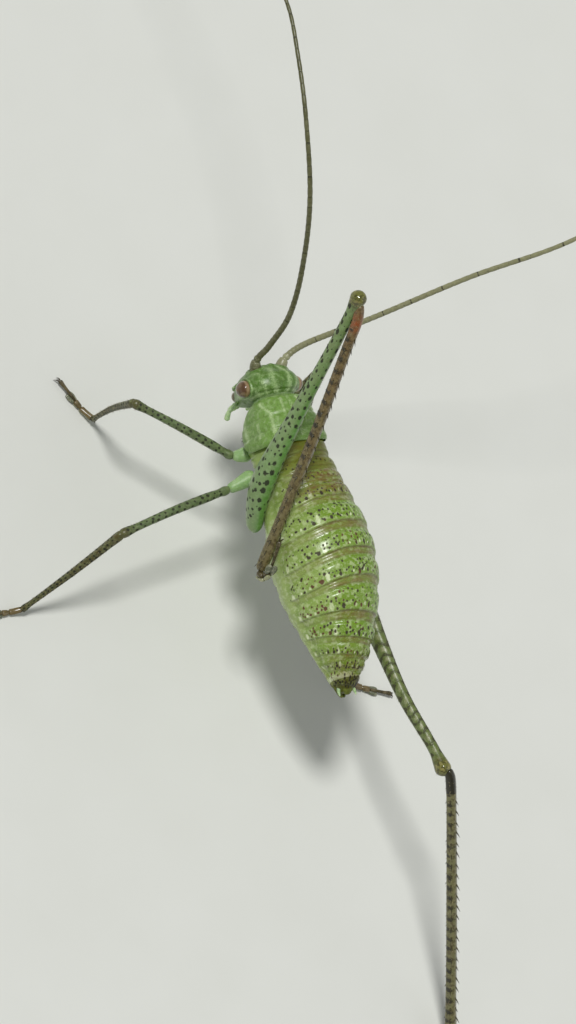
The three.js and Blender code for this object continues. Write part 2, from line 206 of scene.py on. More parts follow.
def lay_out(patches):
    """Packs the patches' unwraps onto shelves in the unit square, all at one scale."""
    scale = 1 / math.sqrt(sum(p.long * p.short for p in patches) * 0.9)
    while True:
        x = y = shelf = widest = 0.0
        for patch in sorted(patches, key=lambda p: -p.short):
            if x + patch.long * scale + UNWRAP_GAP > 1:
                x, y, shelf = 0.0, y + shelf, 0.0
            patch.corner = (x + UNWRAP_GAP, y + UNWRAP_GAP, scale)
            x += patch.long * scale + UNWRAP_GAP
            widest = max(widest, x)
            shelf = max(shelf, patch.short * scale + UNWRAP_GAP)
        if max(y + shelf, widest) + UNWRAP_GAP <= 1:
            return
        scale *= 0.98


def link(name, data):
    made = bpy.data.objects.new(name, data)
    bpy.context.scene.collection.objects.link(made)
    return made


def add_piece(name, points, faces, marks, unwrap, finishes, slots, replaces=()):
    """Makes a mesh in the frame's metres that rides on the model.

    unwrap has a place for each corner of each face, and slots a finish's number for each face.
    """
    mesh = bpy.data.meshes.new(name)
    mesh.from_pydata(((points + SHIFT) * MM).tolist(), [], faces)
    for k, values in marks.items():
        mesh.attributes.new(k, "FLOAT", "POINT").data.foreach_set("value", values.astype(np.float32))
    mesh.uv_layers.new(name="OFBake").data.foreach_set("uv", unwrap.astype(np.float32).reshape(-1))
    mesh.polygons.foreach_set("use_smooth", [True] * len(faces))
    for finish in finishes:
        mesh.materials.append(MATERIALS[finish])
    mesh.polygons.foreach_set("material_index", slots)
    mesh.update()
    piece = link(name, mesh)
    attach(piece, "root")
    if replaces:
        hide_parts(*replaces)


def join(name, patches, finishes, replaces):
    """Makes one piece of the patches."""
    lay_out(patches)
    points, faces, unwrap, slots = [], [], [], []
    marks = {k: [] for k in MARKS}
    first = 0
    for patch in patches:
        points += [patch.points.reshape(-1, 3), *(patch.points[[row]].mean(1) for row in patch.tip_rows)]
        for k, mark in patch.marks.items():
            marks[k] += [mark.reshape(-1), *(mark[[row]].mean(1) for row in patch.tip_rows)]
        for corners, rows, columns in patch.faces(first):
            faces += corners.tolist()
            unwrap.append(patch.uv(rows.reshape(-1), columns.reshape(-1)))
            slots += [finishes.index(f) for f in patch.finishes[rows[:, 0]]]
        first += patch.points[:, :, 0].size + len(patch.tip_rows)
    marks = {k: np.concatenate(v) for k, v in marks.items()}
    points, unwrap = np.concatenate(points), np.concatenate(unwrap)
    add_piece(name, points, faces, marks, unwrap, finishes, slots, replaces)


# ---- materials ----

MATERIALS = {}  # by the name of the finish


class Nodes:
    """A material with short ways to add and join its nodes."""

    def __init__(self, name):
        MATERIALS[name] = bpy.data.materials.new(name)
        MATERIALS[name].use_nodes = True
        self.tree = MATERIALS[name].node_tree
        self.tree.nodes.clear()
        self.shader = self.tree.nodes.new("ShaderNodeBsdfPrincipled")
        output = self.tree.nodes.new("ShaderNodeOutputMaterial")
        self.tree.links.new(self.shader.outputs[0], output.inputs["Surface"])

    def put(self, value, socket):
        if isinstance(value, bpy.types.NodeSocket):
            self.tree.links.new(value, socket)
        elif isinstance(value, tuple) and len(socket.default_value) == 4:
            socket.default_value = (*value, 1)
        else:
            socket.default_value = value

    def set(self, **values):
        for key, value in values.items():
            self.put(value, self.shader.inputs[key.replace("_", " ")])

    def add(self, kind, output, inputs, **settings):
        """Adds a node, puts its inputs, given by name or number, and returns one of its outputs."""
        node = self.tree.nodes.new("ShaderNode" + kind)
        for key, value in settings.items():
            setattr(node, key, value)
        for key, value in inputs.items():
            self.put(value, node.inputs[key])
        return node.outputs[output]

    def mark(self, name):
        return self.add("Attribute", "Fac", {}, attribute_name=name)

    def noise(self, size, detail=2.0, stretch=(1, 1, 1)):
        """Noise whose features are about size millimetres across."""
        place = {"Vector": self.add("TexCoord", "Object", {}), "Scale": stretch}
        place = self.add("Mapping", 0, place, vector_type="POINT")
        return self.add("TexNoise", "Fac", {"Vector": place, "Scale": 1 / (size * MM), "Detail": detail})

    def maths(self, operation, a, b, clamp=False):
        return self.add("Math", 0, {0: a, 1: b}, operation=operation, use_clamp=clamp)

    def scaled(self, value, by, plus=0.0):
        return self.add("Math", 0, {0: value, 1: by, 2: plus}, operation="MULTIPLY_ADD")

    def ramp(self, value, low, high, top=1.0):
        """0 below low, rising smoothly to top above high."""
        inputs = {"Value": value, "From Min": low, "From Max": high, "To Max": top}
        return self.add("MapRange", "Result", inputs, interpolation_type="SMOOTHSTEP")

    def mix(self, share, a, b):
        return self.add("Mix", 2, {0: share, 6: a, 7: b}, data_type="RGBA")

    def bump(self, height, depth):
        """A bump whose full height is depth millimetres."""
        return self.add("Bump", "Normal", {"Height": height, "Distance": depth * MM})


def rgb(code):
    """A colour from its usual hex code, made linear."""
    shares = [int(code[i:i + 2], 16) / 255 for i in (0, 2, 4)]
    return tuple(c / 12.92 if c <= 0.04045 else ((c + 0.055) / 1.055) ** 2.4 for c in shares)


def between(a, b, share):
    return tuple(x + (y - x) * share for x, y in zip(a, b))


def cuticle(
    name, colours, band=None, rust=None,
    rough=0.34, clear=0.12, freckled=0.0, mottled=0.3, blotched=0.0, shine=0.5, dulled=0.4,
):
    """Waxy insect cuticle.

    The colours are the ground's where the tone mark is 0 and where it is 1, the spots' and the pale
    patches'. band is that of the folds, and rust that of some of the spots. clear is how much light
    passes into it. freckled, mottled and blotched are how strongly fine dark, pale and coarse dark
    flecks break its ground. shine is how much it reflects, and dulled how much rougher its dark
    marks are.
    """
    n = Nodes(name)
    low, high, dark, pale = map(rgb, colours.split())
    band = rgb(band) if band else dark
    drift = n.scaled(n.noise(0.5, 3), 0.7, -0.35)
    ground = n.mix(n.maths("ADD", n.mark("tone"), drift, clamp=True), low, high)
    ground = n.mix(n.ramp(n.noise(0.16, 3), 0.47, 0.66, mottled), ground, between(low, pale, 0.6))
    ground = n.mix(n.ramp(n.noise(0.05), 0.52, 0.72, 0.5), ground, between(low, pale, 0.4))
    if freckled:
        ground = n.mix(n.ramp(n.noise(0.035, 1), 0.6, 0.72, freckled), ground, dark)
    if blotched:
        ground = n.mix(n.ramp(n.noise(0.12, 2), 0.5, 0.6, blotched), ground, between(low, dark, 0.7))
    ragged = n.scaled(n.noise(0.05, 1), 0.9, -0.45)
    patch = n.ramp(n.maths("ADD", n.mark("pale"), ragged), 0.3, 0.95, 0.9)
    patch = n.maths("MULTIPLY", patch, n.scaled(n.ramp(n.noise(0.3), 0.35, 0.6), 0.5, 0.5))
    colour = n.mix(patch, ground, pale)
    streaks = n.scaled(n.ramp(n.noise(0.12, 2, (0.35, 1, 0.35)), 0.25, 0.75), 0.6, 0.25)
    colour = n.mix(n.maths("MULTIPLY", n.mark("band"), streaks), colour, band)
    # The line mark draws thin dark lines: brown edge lines, a dark ring by the knee, and painted shadow under
    # the hind edges of the abdomen's plates.
    colour = n.mix(n.maths("MULTIPLY", n.mark("line"), streaks), colour, between(dark, band, 0.35))
    ink = n.mix(n.ramp(n.noise(0.9, 1), 0.5, 0.62, 0.8), dark, rgb(rust)) if rust else dark
    spot = n.ramp(n.maths("ADD", n.mark("dark"), n.scaled(ragged, 0.9)), 0.35, 0.72, 0.93)
    relief = n.maths("SUBTRACT", n.scaled(n.noise(0.09, 3), 0.7), n.scaled(spot, 0.45))
    n.set(Base_Color=n.mix(spot, colour, ink), Normal=n.bump(relief, 0.007))
    n.set(Roughness=n.scaled(spot, dulled, rough) if dulled else rough, Specular_IOR_Level=shine)
    n.set(Subsurface_Weight=clear, Subsurface_Scale=0.25 * MM, Subsurface_Radius=(1.0, 1.0, 0.45))


FACET = 0.03  # across one of the eye's facets


def eye_finish():
    n = Nodes("eye")
    shade = n.mix(n.ramp(n.noise(0.3), 0.4, 0.62), rgb("583c22"), rgb("7c6440"))
    cells = {"Vector": n.add("TexCoord", "Object", {}), "Scale": 1 / (FACET * MM)}
    facets = n.ramp(n.add("TexVoronoi", "Distance", cells), 0.1, 0.5)
    n.set(Base_Color=n.mix(n.mark("pale"), shade, rgb("a58a66")), Normal=n.bump(facets, 0.004))
    n.set(Roughness=0.16, Coat_Weight=0.6, Coat_Roughness=0.06)


def horn_finish(name, deep, light, rough):
    """Claws and spines: dark horn, paler where the tone mark is high."""
    n = Nodes(name)
    tone = n.maths("ADD", n.mark("tone"), n.scaled(n.noise(0.04), 0.35), clamp=True)
    n.set(Base_Color=n.mix(tone, rgb(deep), rgb(light)), Roughness=rough, Normal=n.bump(n.noise(0.02), 0.002))


def floor_finish():
    n = Nodes("floor")
    n.set(Base_Color=n.mix(n.noise(3), rgb("d9dad2"), rgb("dedfd8")), Roughness=0.8)


cuticle(
    "abdomen", "9db266 6f9022 2e1e0e e0eabe", band="735a2c", rust="62301c",
    rough=0.27, clear=0.15, mottled=0.5,
)
cuticle("thorax", "8ea653 637207 2c280a b3c680", band="6a6414", mottled=0.2)
cuticle("shield", "668d36 779c47 44481c b8ce98", rough=0.4, mottled=0.55, freckled=0.4, blotched=0.28)
cuticle("head", "5a8030 4d7026 3e421a acc68a", rough=0.38, mottled=0.5, freckled=0.35, blotched=0.28)
cuticle("soft", "8cae70 7c9e60 5f7040 c4d8aa", rough=0.42, clear=0.3, mottled=0.6)
# The thigh's first colour, a brighter green, shows mostly in the painted reflection along the raised thigh's
# upper edge.
cuticle("thigh", "60923e 7d9460 1c1e0a b0c898", band="54481e", rough=0.3)
cuticle("tan_thigh", "5f7f38 637038 3d3d22 9c9e7a", band="574818", mottled=0.35, freckled=0.45)
cuticle("leg", "617348 554e26 1c2006 a2aa7c", band="54421c", freckled=0.25, blotched=0.4)
cuticle(
    "knee", "5c5926 6f7032 241f0b b0a566", band="564c1c",
    rough=0.13, freckled=0.6, mottled=0.8, blotched=0.75, shine=0.7,
)
cuticle(
    "shin", "6d5834 73724a 1e1b0d a09a72", band="9a4818",
    rough=0.2, freckled=0.3, blotched=0.6, shine=0.6, dulled=0,
)
cuticle("foot", "3a351a 7e6c44 1f130a b4a484", rough=0.22, clear=0.2)
cuticle("pad", "a0a27c 5f6450 5f4c30 d8d2bc", rough=0.14, clear=0.3)
cuticle("tail", "5c661c 4a480e 1a1604 8e9856", band="4c4c12", rough=0.22, shine=0.3)
cuticle("feeler", "46461f 8a8967 2c2a14 9fa07e", rough=0.35)
eye_finish()
horn_finish("claw", "0f0906", "3a2e18", 0.15)
horn_finish("spine", "120f06", "3e3818", 0.25)
horn_finish("bristle", "4a3c22", "b0a27c", 0.4)
floor_finish()

# ---- rings, spots and relief ----


def all_round(count):
    return (np.arange(count) + 0.5) / count * 2 * np.pi


def turned_by(angle):
    """The same angle, from minus half a turn to half a turn."""
    return (angle + np.pi) % (2 * np.pi) - np.pi


def spotted(places, angles, radii, spots):
    """How near each grid point is to a spot: 1.5 in its middle, 0.5 at its edge, then down to 0.

    A spot is its place and angle, and its half length and half width in millimetres.
    """
    mark = np.zeros(angles.shape)
    for place, angle, long, wide in spots:
        rows = np.abs(places - place) < 1.5 * long
        turn = turned_by(angles[rows] - angle) * radii[rows, None] / wide
        away = np.hypot((places[rows, None] - place) / long, turn)
        mark[rows] = np.maximum(mark[rows], 1.5 - away)
    return mark


TRIES = 6  # for each spot scattered


def scattered(count, gap, place):
    """Up to count places made by place(), each at least gap from those before it."""
    kept = []
    for _ in range(count * TRIES):
        trial = np.array(place())
        if all(np.hypot(*(trial - k)) > gap for k in kept):
            kept.append(trial)
        if len(kept) == count:
            break
    return kept


def outward(points):
    """Directions out of a grid that is closed round its columns."""
    round_it = np.roll(points, -1, axis=1) - np.roll(points, 1, axis=1)
    normals = unit(np.cross(round_it, np.gradient(points, axis=0)))
    facing = ((points - points.mean(1, keepdims=True)) * normals).sum((1, 2))[:, None, None]
    return normals * np.where(facing < 0, -1, 1)


def carved(points, relief):
    return points + outward(points) * relief[..., None]


def squared(wave, power):
    """A cosine or sine that draws a squarer ring than a circle where power is over 2."""
    return np.sign(wave) * np.abs(wave) ** (2 / power)


# ---- trunk ----

METATHORAX_BACK = -0.5
MESOTHORAX_BACK = 0.05
PRONOTUM_BACK = 0.8
TERGITE_BACKS = [-0.97, -1.8, -2.9, -3.9, -4.9, -6.05, -6.8, -7.3, -7.7, -8.3]
TAIL_TIP = -8.33
NECK_FRONT = 2.75
TAIL_FINISH_FRONT = -7.92
SUTURES = (0.52, 0.12, -0.22, -0.6)  # grooves down the flanks of the thorax
PLATE_EDGES = np.array([PRONOTUM_BACK, MESOTHORAX_BACK, METATHORAX_BACK, *TERGITE_BACKS])
SHORT_TERGITES = 2  # the last ones, with fewer large spots and more small ones
PLATE_SHARE = 0.66  # how much of each segment's length its hard plate covers
TRUNK_ROWS, TRUNK_COLUMNS = 330, 256

TRUNK_CENTRE = track([
    (-8.4, 5.9), (-7.4, 6.22), (-5.8, 6.42), (-3, 6.48), (-1.1, 6.28), (0.3, 6.05), (2.45, 5.85), (2.75, 5.8),
])
TRUNK_HALF_WIDTH = track([
    (-8.4, 0.26), (-8.05, 0.5), (-7.6, 0.76), (-7.1, 0.99), (-6.5, 1.24), (-5.8, 1.48), (-5.1, 1.71),
    (-4.2, 1.86), (-3, 1.88), (-1.9, 1.7), (-1.1, 1.5), (-0.3, 1.37), (0.4, 1.24), (1.2, 1.18), (2.2, 0.98),
    (2.75, 0.66),
])
TRUNK_ABOVE = track([
    (-8.4, 0.24), (-7.1, 0.98), (-5.8, 1.44), (-4.2, 1.78), (-3, 1.8), (-1.1, 1.45), (0.4, 1.12), (1.6, 1),
    (2.2, 0.84), (2.75, 0.6),
])
TRUNK_BELOW = track([
    (-8.4, 0.24), (-7.1, 0.88), (-5.8, 1.42), (-4.2, 1.88), (-3, 1.92), (-1.1, 1.5), (0.2, 1.45), (0.9, 1.66),
    (1.6, 1.6), (2.2, 1.2), (2.75, 0.7),
])
TRUNK_SQUARENESS = track([(-8.4, 2), (-2, 2), (0.2, 2.3), (1.2, 2.8), (2.45, 2.5)])
# Degrees that its back leans right, and degrees from there to a plate's side edge.
ABDOMEN_TWIST = track([(-8.4, 9), (-5.5, 14), (-1, 17), (0.8, 10), (2.45, 4)])
PLATE_REACH = track([(-8.4, 106), (-6, 100), (-3, 90), (-1, 87)])


def on_trunk(y, turn, rise=0.0):
    """Grid points on the trunk, or rise outside it, at angles turn up from its right side."""
    power = TRUNK_SQUARENESS(y)
    c, s = np.cos(turn), np.sin(turn)
    tall = np.where(s > 0, TRUNK_ABOVE(y), TRUNK_BELOW(y)) + rise
    x = squared(c, power) * (TRUNK_HALF_WIDTH(y) + rise)
    return grid(x, y, TRUNK_CENTRE(y) + squared(s, power) * tall)


def swept_back(y, angles):
    """How far back the edges of the plates are swept at an angle, against the middle of the back.

    They sweep back down both flanks, less so near the tail, where they also lean back on the right.
    """
    tail = smooth(-4.6, -6.6, y)
    flanks = 0.24 * (1 - tail) * smooth(math.radians(12), math.radians(100), np.abs(angles))
    return TRUNK_HALF_WIDTH(y) * (flanks + 0.2 * tail * np.sin(-angles + math.radians(40)))


# The row of patches and spots near each plate's hind edge: share of the way round to its side edge,
# half width, stretch.
PALE_ROW = [
    (0, 0.055, 1.6), (0.16, 0.05, 1.1), (0.49, 0.085, 2.3), (0.73, 0.05, 1.2), (0.86, 0.05, 1.3),
    (1.01, 0.1, 1.3),
]
DARK_ROW = [
    (0.07, 0.07, 1.7), (0.18, 0.05, 1.2), (0.32, 0.075, 1.35), (0.42, 0.055, 1.2), (0.57, 0.095, 1.05),
    (0.68, 0.075, 0.9), (0.8, 0.08, 0.8), (0.91, 0.06, 0.9), (1.09, 0.06, 1),
]
ROW_SHARE = PLATE_SHARE - 0.1


def tergite_spots():
    """Dark spots and whitish patches of the back, as spotted() takes them."""
    dark, pale = [], []
    for k, (front, back) in enumerate(zip(PLATE_EDGES[1:-1], PLATE_EDGES[2:])):
        long, middle = front - back, (front + back) / 2
        radius = TRUNK_HALF_WIDTH(middle)
        small = 0.62 + 0.38 * smooth(0.4, 1.0, long)
        reach = math.radians(PLATE_REACH(middle))

        def put(spots, share, angle, wide, stretch):
            y = front - share * long
            spots.append((y - swept_back(y, angle), angle, wide * small * stretch, wide * small))

        last = k >= len(PLATE_EDGES) - 2 - SHORT_TERGITES
        if front <= METATHORAX_BACK:
            for round_it, wide, stretch in PALE_ROW:
                for side in (-reach, reach):
                    put(pale, ROW_SHARE - (stretch - 1) * 0.06, side * round_it, wide, stretch)
            for round_it, wide, stretch in DARK_ROW[::2] if last else DARK_ROW:
                for side in (-reach, reach):
                    slip = rng.normal(0, 0.02, 2)
                    grown = wide * rng.uniform(0.65, 1.0)
                    put(dark, ROW_SHARE + slip[0], side * round_it + slip[1] / radius, grown, stretch)
        across = reach * radius
        covered, room_each, gap = (0.85, 0.022, 0.09) if last else (PLATE_SHARE - 0.15, 0.032, 0.105)
        count = int((covered - 0.1) * long * 2 * across / room_each)
        place = lambda: (rng.uniform(0.08, covered) * long, rng.uniform(-across, across))
        for down, arc in scattered(count, gap, place):
            if rng.uniform() > 0.35 * abs(arc) / across:
                wide = rng.uniform(0.028, 0.045) * (1 + 0.4 * (long < 0.8 or rng.uniform() > 0.85))
                put(dark, down / long, arc / radius, wide, rng.uniform(0.9, 1.4))
    return dark, pale


def make_trunk():
    y = np.linspace(TAIL_TIP, NECK_FRONT, TRUNK_ROWS)[:, None]
    turn = all_round(TRUNK_COLUMNS)
    angles = turned_by(turn - np.pi / 2 + np.radians(ABDOMEN_TWIST(y)))
    side = np.degrees(np.abs(angles))
    # Each point's plate, and how far back along that plate it lies, from 0 to 1.
    swept = np.minimum(y + swept_back(y, angles) * (y < PRONOTUM_BACK), PRONOTUM_BACK)
    plate = np.clip(np.searchsorted(-PLATE_EDGES, -swept) - 1, 0, len(PLATE_EDGES) - 2)
    long = PLATE_EDGES[plate] - PLATE_EDGES[plate + 1]
    share = np.clip((PLATE_EDGES[plate] - swept) / long, 0, 1)
    on_plate = 1 - smooth(0, 16, side - PLATE_REACH(y))
    under = smooth(128, 142, side)
    pleura = smooth(55, 75, side) * (1 - smooth(150, 170, side))
    fold = smooth(PLATE_SHARE, PLATE_SHARE + 0.07, share)
    # Plates that overlap, with wrinkled folds between them.
    relief = -0.075 * (1 - smooth(0, 0.2, share)) - 0.055 * fold
    relief += 0.028 * np.sin(np.pi * np.clip(share / PLATE_SHARE, 0, 1))
    relief += 0.02 * hump(PLATE_SHARE - 0.03, 0.04, share)
    relief += 0.012 * fold * np.sin((share - PLATE_SHARE) * 2 * np.pi / 0.105)
    relief *= smooth(0, 1.0, long) * (0.2 + 0.8 * np.maximum(on_plate, 0.35 * under))
    # Long grooves and a ridge along the flank, and the dip under the shield.
    relief += -0.03 * hump(100, 8, side) + 0.02 * hump(116, 12, side) - 0.02 * hump(134, 8, side)
    relief = relief * (y < PRONOTUM_BACK) - 0.06 * smooth(0.6, 0.9, y)
    relief -= 0.05 * smooth(-7.3, -7.4, y) * (1 - under)
    for suture in SUTURES:
        relief -= 0.045 * pleura * hump(suture + 0.0035 * (side - 100), 0.045, y)
    rows = y[:, 0]
    radii = (TRUNK_HALF_WIDTH(rows) + TRUNK_ABOVE(rows)) / 2
    dark_spots, pale_spots = tergite_spots()
    dark_spots.append((-8.12, math.radians(-50), 0.16, 0.2))
    # A whitish patch on the left flank of the tail is a painted reflection, not a marking.
    painted_tail_reflection = 0.9 * hump(-7.85, 0.15, y) * (angles > 0.2)
    band = smooth(PLATE_SHARE, PLATE_SHARE + 0.05, share) * (1 - smooth(0.93, 1.0, share))
    band = band * on_plate * (0.3 + 0.6 * (1 - smooth(25, 75, side)))
    band = np.maximum(band, 0.7 * smooth(-6.4, -7.7, y) * (1 - 0.6 * smooth(50, 110, side)))
    band = np.maximum(band, 1.1 * smooth(-2.0, -1.2, y) * (1 - smooth(45, 95, side)))
    # The first dark line, just behind each plate's hind edge, is painted shadow under the plate's overhang;
    # the second is a brown line at the next plate's front edge.
    line = 0.8 * hump(PLATE_SHARE + 0.05, 0.03, share) + 0.6 * hump(0.965, 0.03, share)
    tone = on_plate * (0.45 + 0.55 * (1 - smooth(25, 60, side)) + 0.3 * smooth(-5, -7, y))
    finishes = [rows < TAIL_FINISH_FRONT, rows < METATHORAX_BACK, rows < PRONOTUM_BACK]
    return Patch(
        carved(on_trunk(y, turn), relief),
        np.select(finishes, ["tail", "abdomen", "thorax"], "soft"),
        dark=spotted(rows, angles, radii, dark_spots) * on_plate,
        pale=np.maximum(spotted(rows, angles, radii, pale_spots), painted_tail_reflection),
        band=band,
        line=np.clip(line, 0, 1) * on_plate * (0.4 + 0.5 * (1 - smooth(40, 90, side))),
        tone=tone * (1 - smooth(PLATE_SHARE - 0.15, PLATE_SHARE, share) * 0.2),
    )


# The shield over the front of the thorax: a saddle with a thin closed edge.
SHIELD_FRONT = 2.52
SHIELD_BACK = 0.66
SHIELD_REACH = math.radians(122)
SHIELD_ROWS, SHIELD_COLUMNS = 90, 110


def make_shield():
    place = np.linspace(-1, 1, SHIELD_COLUMNS)
    place = np.r_[place, place[::-1]]  # the outer face one way, the inner face back
    outer = np.repeat([1, 0], SHIELD_COLUMNS)
    around = place * SHIELD_REACH
    flank = np.degrees(np.abs(around))
    shorter = 1 - dome(smooth(math.radians(78), SHIELD_REACH, np.abs(around)))
    front = SHIELD_FRONT - 0.62 * shorter - 0.1 * place**2
    back = SHIELD_BACK + 0.45 * shorter + 0.1 * place**2
    along = np.sin(np.linspace(-np.pi / 2, np.pi / 2, SHIELD_ROWS))[:, None]
    y = (front + back) / 2 + along * (front - back) / 2
    edge = dome(along) * dome(place)
    # Thick but for its edge, flared behind, with two furrows across it and one down its middle.
    rise = 0.07 * np.minimum(1, edge * 2.2) + 0.05 * smooth(1.3, 0.8, y) - 0.03 * hump(0, 0.05, around)
    rise -= 0.035 * (hump(1.78, 0.06, y) + hump(1.25, 0.05, y))
    points = on_trunk(y, around + np.pi / 2, 0.03 + rise * outer)

    def stripe(at, wide, first, last):
        """A lengthwise stripe wide millimetres across, from y = first forward to last."""
        near = 0.88 - 0.32 * np.abs(flank - at) * 0.02 / wide
        return near * smooth(first - 0.08, first + 0.08, y) * smooth(last + 0.08, last - 0.08, y)

    pale = np.maximum.reduce([
        stripe(43 + 22 * smooth(1.82, 2.3, y), 0.085, 0.9, 2.4),
        stripe(79, 0.06, 1.0, 1.65),
        stripe(100 + 8 * smooth(1.3, 2.0, y), 0.09, 1.1, 2.1),
        stripe(14, 0.045, 1.8, 2.45),
        stripe(0, 0.035, 0.8, 2.45) * 0.8,
        0.6 * (1 - smooth(0.05, 0.25, edge)),
    ])
    net = 0.5 + 0.5 * np.sin(around * 9 + 3 * np.sin(y * 4)) * np.sin(y * 8)
    pale = np.clip(pale, 0, None) * outer
    return Patch(points, "shield", tips=False, pale=pale, tone=0.5 + 0.4 * net)


# ---- head ----

HEAD_BOTTOM, HEAD_TOP = 4.12, 6.63
HEAD_MIDDLE_Y = 3.05
HEAD_ROWS, HEAD_COLUMNS = 110, 150
HEAD_SQUARENESS = 2.2
HEAD_HALF_WIDTH = track([
    (4.1, 0.5), (4.5, 0.66), (5, 0.88), (5.5, 1.04), (5.8, 1.06), (6.1, 0.98), (6.4, 0.76), (6.55, 0.5),
    (6.63, 0.16),
])
HEAD_FRONT = track([
    (4.1, 3.64), (4.6, 3.76), (5.2, 3.82), (5.7, 3.8), (6.1, 3.68), (6.4, 3.5), (6.55, 3.36), (6.63, 3.16),
])
HEAD_REAR = track([(4.1, 2.76), (4.6, 2.6), (5.2, 2.5), (6.1, 2.5), (6.4, 2.62), (6.55, 2.76), (6.63, 2.96)])
EYE_MIDDLE = np.array([1.05, 3.06, 5.7])
EYE_SIZE = np.array([0.29, 0.3, 0.34])
EYE_TILT = 0.12
EYE_ROWS, EYE_COLUMNS = 40, 56
ANTENNA_SOCKET = np.array([0.46, 3.6, 5.8])
# Half the width and the points of each pale line, on the right.
HEAD_LINES = [
    (0.09, [(0.16, 2.55, 6.35), (0.26, 2.75, 6.52), (0.33, 3.05, 6.56), (0.31, 3.35, 6.48), (0.2, 3.6, 6.3)]),
    (0.065, [(0.5, 2.62, 6.2), (0.62, 2.85, 6.36), (0.7, 3.1, 6.34), (0.68, 3.4, 6.2)]),
    (0.08, [(0.3, 2.56, 6.3), (0.52, 2.58, 6.18), (0.69, 2.64, 6.06), (0.82, 2.7, 5.8)]),
    (0.065, [(0.9, 2.75, 5.5), (0.88, 2.9, 5.1), (0.7, 3.1, 4.7)]),
    (0.05, [(0.9, 2.95, 6.12), (0.8, 2.75, 6.1), (0.66, 2.7, 6.2)]),
    (0.045, [(0.2, 3.8, 6.0), (0.16, 3.84, 5.5), (0.24, 3.82, 5.0), (0.3, 3.76, 4.6)]),
]


def both_sides(points):
    return points, [(-x, y, z) for x, y, z in points]


def near_lines(points, lines):
    """How near each point is to any of some lines, given as (half width, points) on one side.

    Height counts for less than the plan does, so a line may run a little over or under the surface.
    """
    mark = np.zeros(points.shape[:2])
    for wide, line in lines:
        for path in both_sides(line):
            away = (points[:, :, None] - Path(path).at(np.linspace(0, 1, 40))) * [1, 1, 0.5]
            away = np.linalg.norm(away, axis=-1).min(2)
            mark = np.maximum(mark, np.clip(0.9 - 0.34 * away / wide, 0, None))
    return mark


def make_head():
    share = np.linspace(0, 1, HEAD_ROWS)[:, None]
    z = HEAD_BOTTOM + (HEAD_TOP - HEAD_BOTTOM) * np.sin(share * np.pi / 2) ** 0.9
    c, s = np.cos(all_round(HEAD_COLUMNS)), np.sin(all_round(HEAD_COLUMNS))
    reach = np.where(s > 0, HEAD_FRONT(z) - HEAD_MIDDLE_Y, HEAD_MIDDLE_Y - HEAD_REAR(z))
    x = squared(c, HEAD_SQUARENESS) * HEAD_HALF_WIDTH(z)
    points = grid(x, HEAD_MIDDLE_Y + squared(s, HEAD_SQUARENESS) * reach, z)
    x, y, z = np.moveaxis(points, 2, 0)
    folded = grid(np.abs(x), y, z)  # both halves brought onto the right one
    away = lambda middle, size=1.0: np.linalg.norm((folded - middle) / size, axis=-1)
    eye = away(EYE_MIDDLE, EYE_SIZE)
    socket = away(ANTENNA_SOCKET)
    # Rims and hollows of the eyes and feelers, then brow, face and cheeks, then seams.
    relief = 0.05 * hump(1.12, 0.14, eye) - 0.12 * smooth(1.05, 0.6, eye)
    relief += 0.06 * hump(0.31, 0.07, socket) - 0.05 * smooth(0.26, 0.1, socket)
    relief += 0.13 * hump(0, 0.2, away([0, 3.72, 6.12]))
    relief += 0.05 * hump(0, 0.3, away([0, 3.8, 4.75])) + 0.03 * hump(0, 0.3, away([0.72, 3.35, 4.85]))
    relief -= 0.04 * hump(4.5, 0.04, z) * (y > 3.3) + 0.02 * hump(0, 0.05, x) * (z > 6.2)
    relief -= 0.03 * hump(2.72, 0.05, y) * (z > 5)
    points = carved(points, relief)
    x, y, z = np.moveaxis(points, 2, 0)
    pale = np.clip(near_lines(points, HEAD_LINES) + 0.6 * hump(1.2, 0.12, eye), 0, 1.5)
    net = 0.5 + 0.5 * np.sin(x * 11) * np.sin(y * 12 + z * 6)
    return Patch(points, "head", dark=0.55 * hump(0.24, 0.05, socket), pale=pale, tone=0.2 + 0.6 * net)


def make_mouth():
    """The two jaws, the lower edge of the face, the upper lip and the lower lip."""
    darker = lambda share, angles: smooth(0.45, 0.85, share)
    jaw = [(0.3, 3.1, 4.35), (0.3, 3.22, 3.95), (0.12, 3.38, 3.68)]
    jaw_shape = [(0, 0.26, 0.19), (0.6, 0.19, 0.16), (1, 0.08, 0.07)]
    made = [
        limb(Path(side), jaw_shape, (1, 0, 0.4), 30, 24, "foot", dark=darker, tone=0.3)
        for side in both_sides(jaw)[::-1]
    ]
    face = [(0, 3.42, 4.5), (0, 3.56, 4.2), (0, 3.56, 4.02)]
    upper = [(0, 3.5, 4.1), (0, 3.58, 3.92), (0, 3.5, 3.68)]
    lower = [(0, 2.85, 4.25), (0, 2.95, 3.85), (0, 3.15, 3.6)]
    for line, shape, rows, columns, finish in (
        (face, [(0, 0.22, 0.42), (0.5, 0.17, 0.42), (1, 0.1, 0.36)], 30, 36, "head"),
        (upper, [(0, 0.12, 0.33), (0.5, 0.1, 0.34), (1, 0.05, 0.22)], 24, 30, "soft"),
        (lower, [(0, 0.12, 0.34), (0.7, 0.1, 0.28), (1, 0.05, 0.16)], 20, 20, "soft"),
    ):
        made.append(limb(Path(line), shape, (1, 0, 0), rows, columns, finish))
    return made


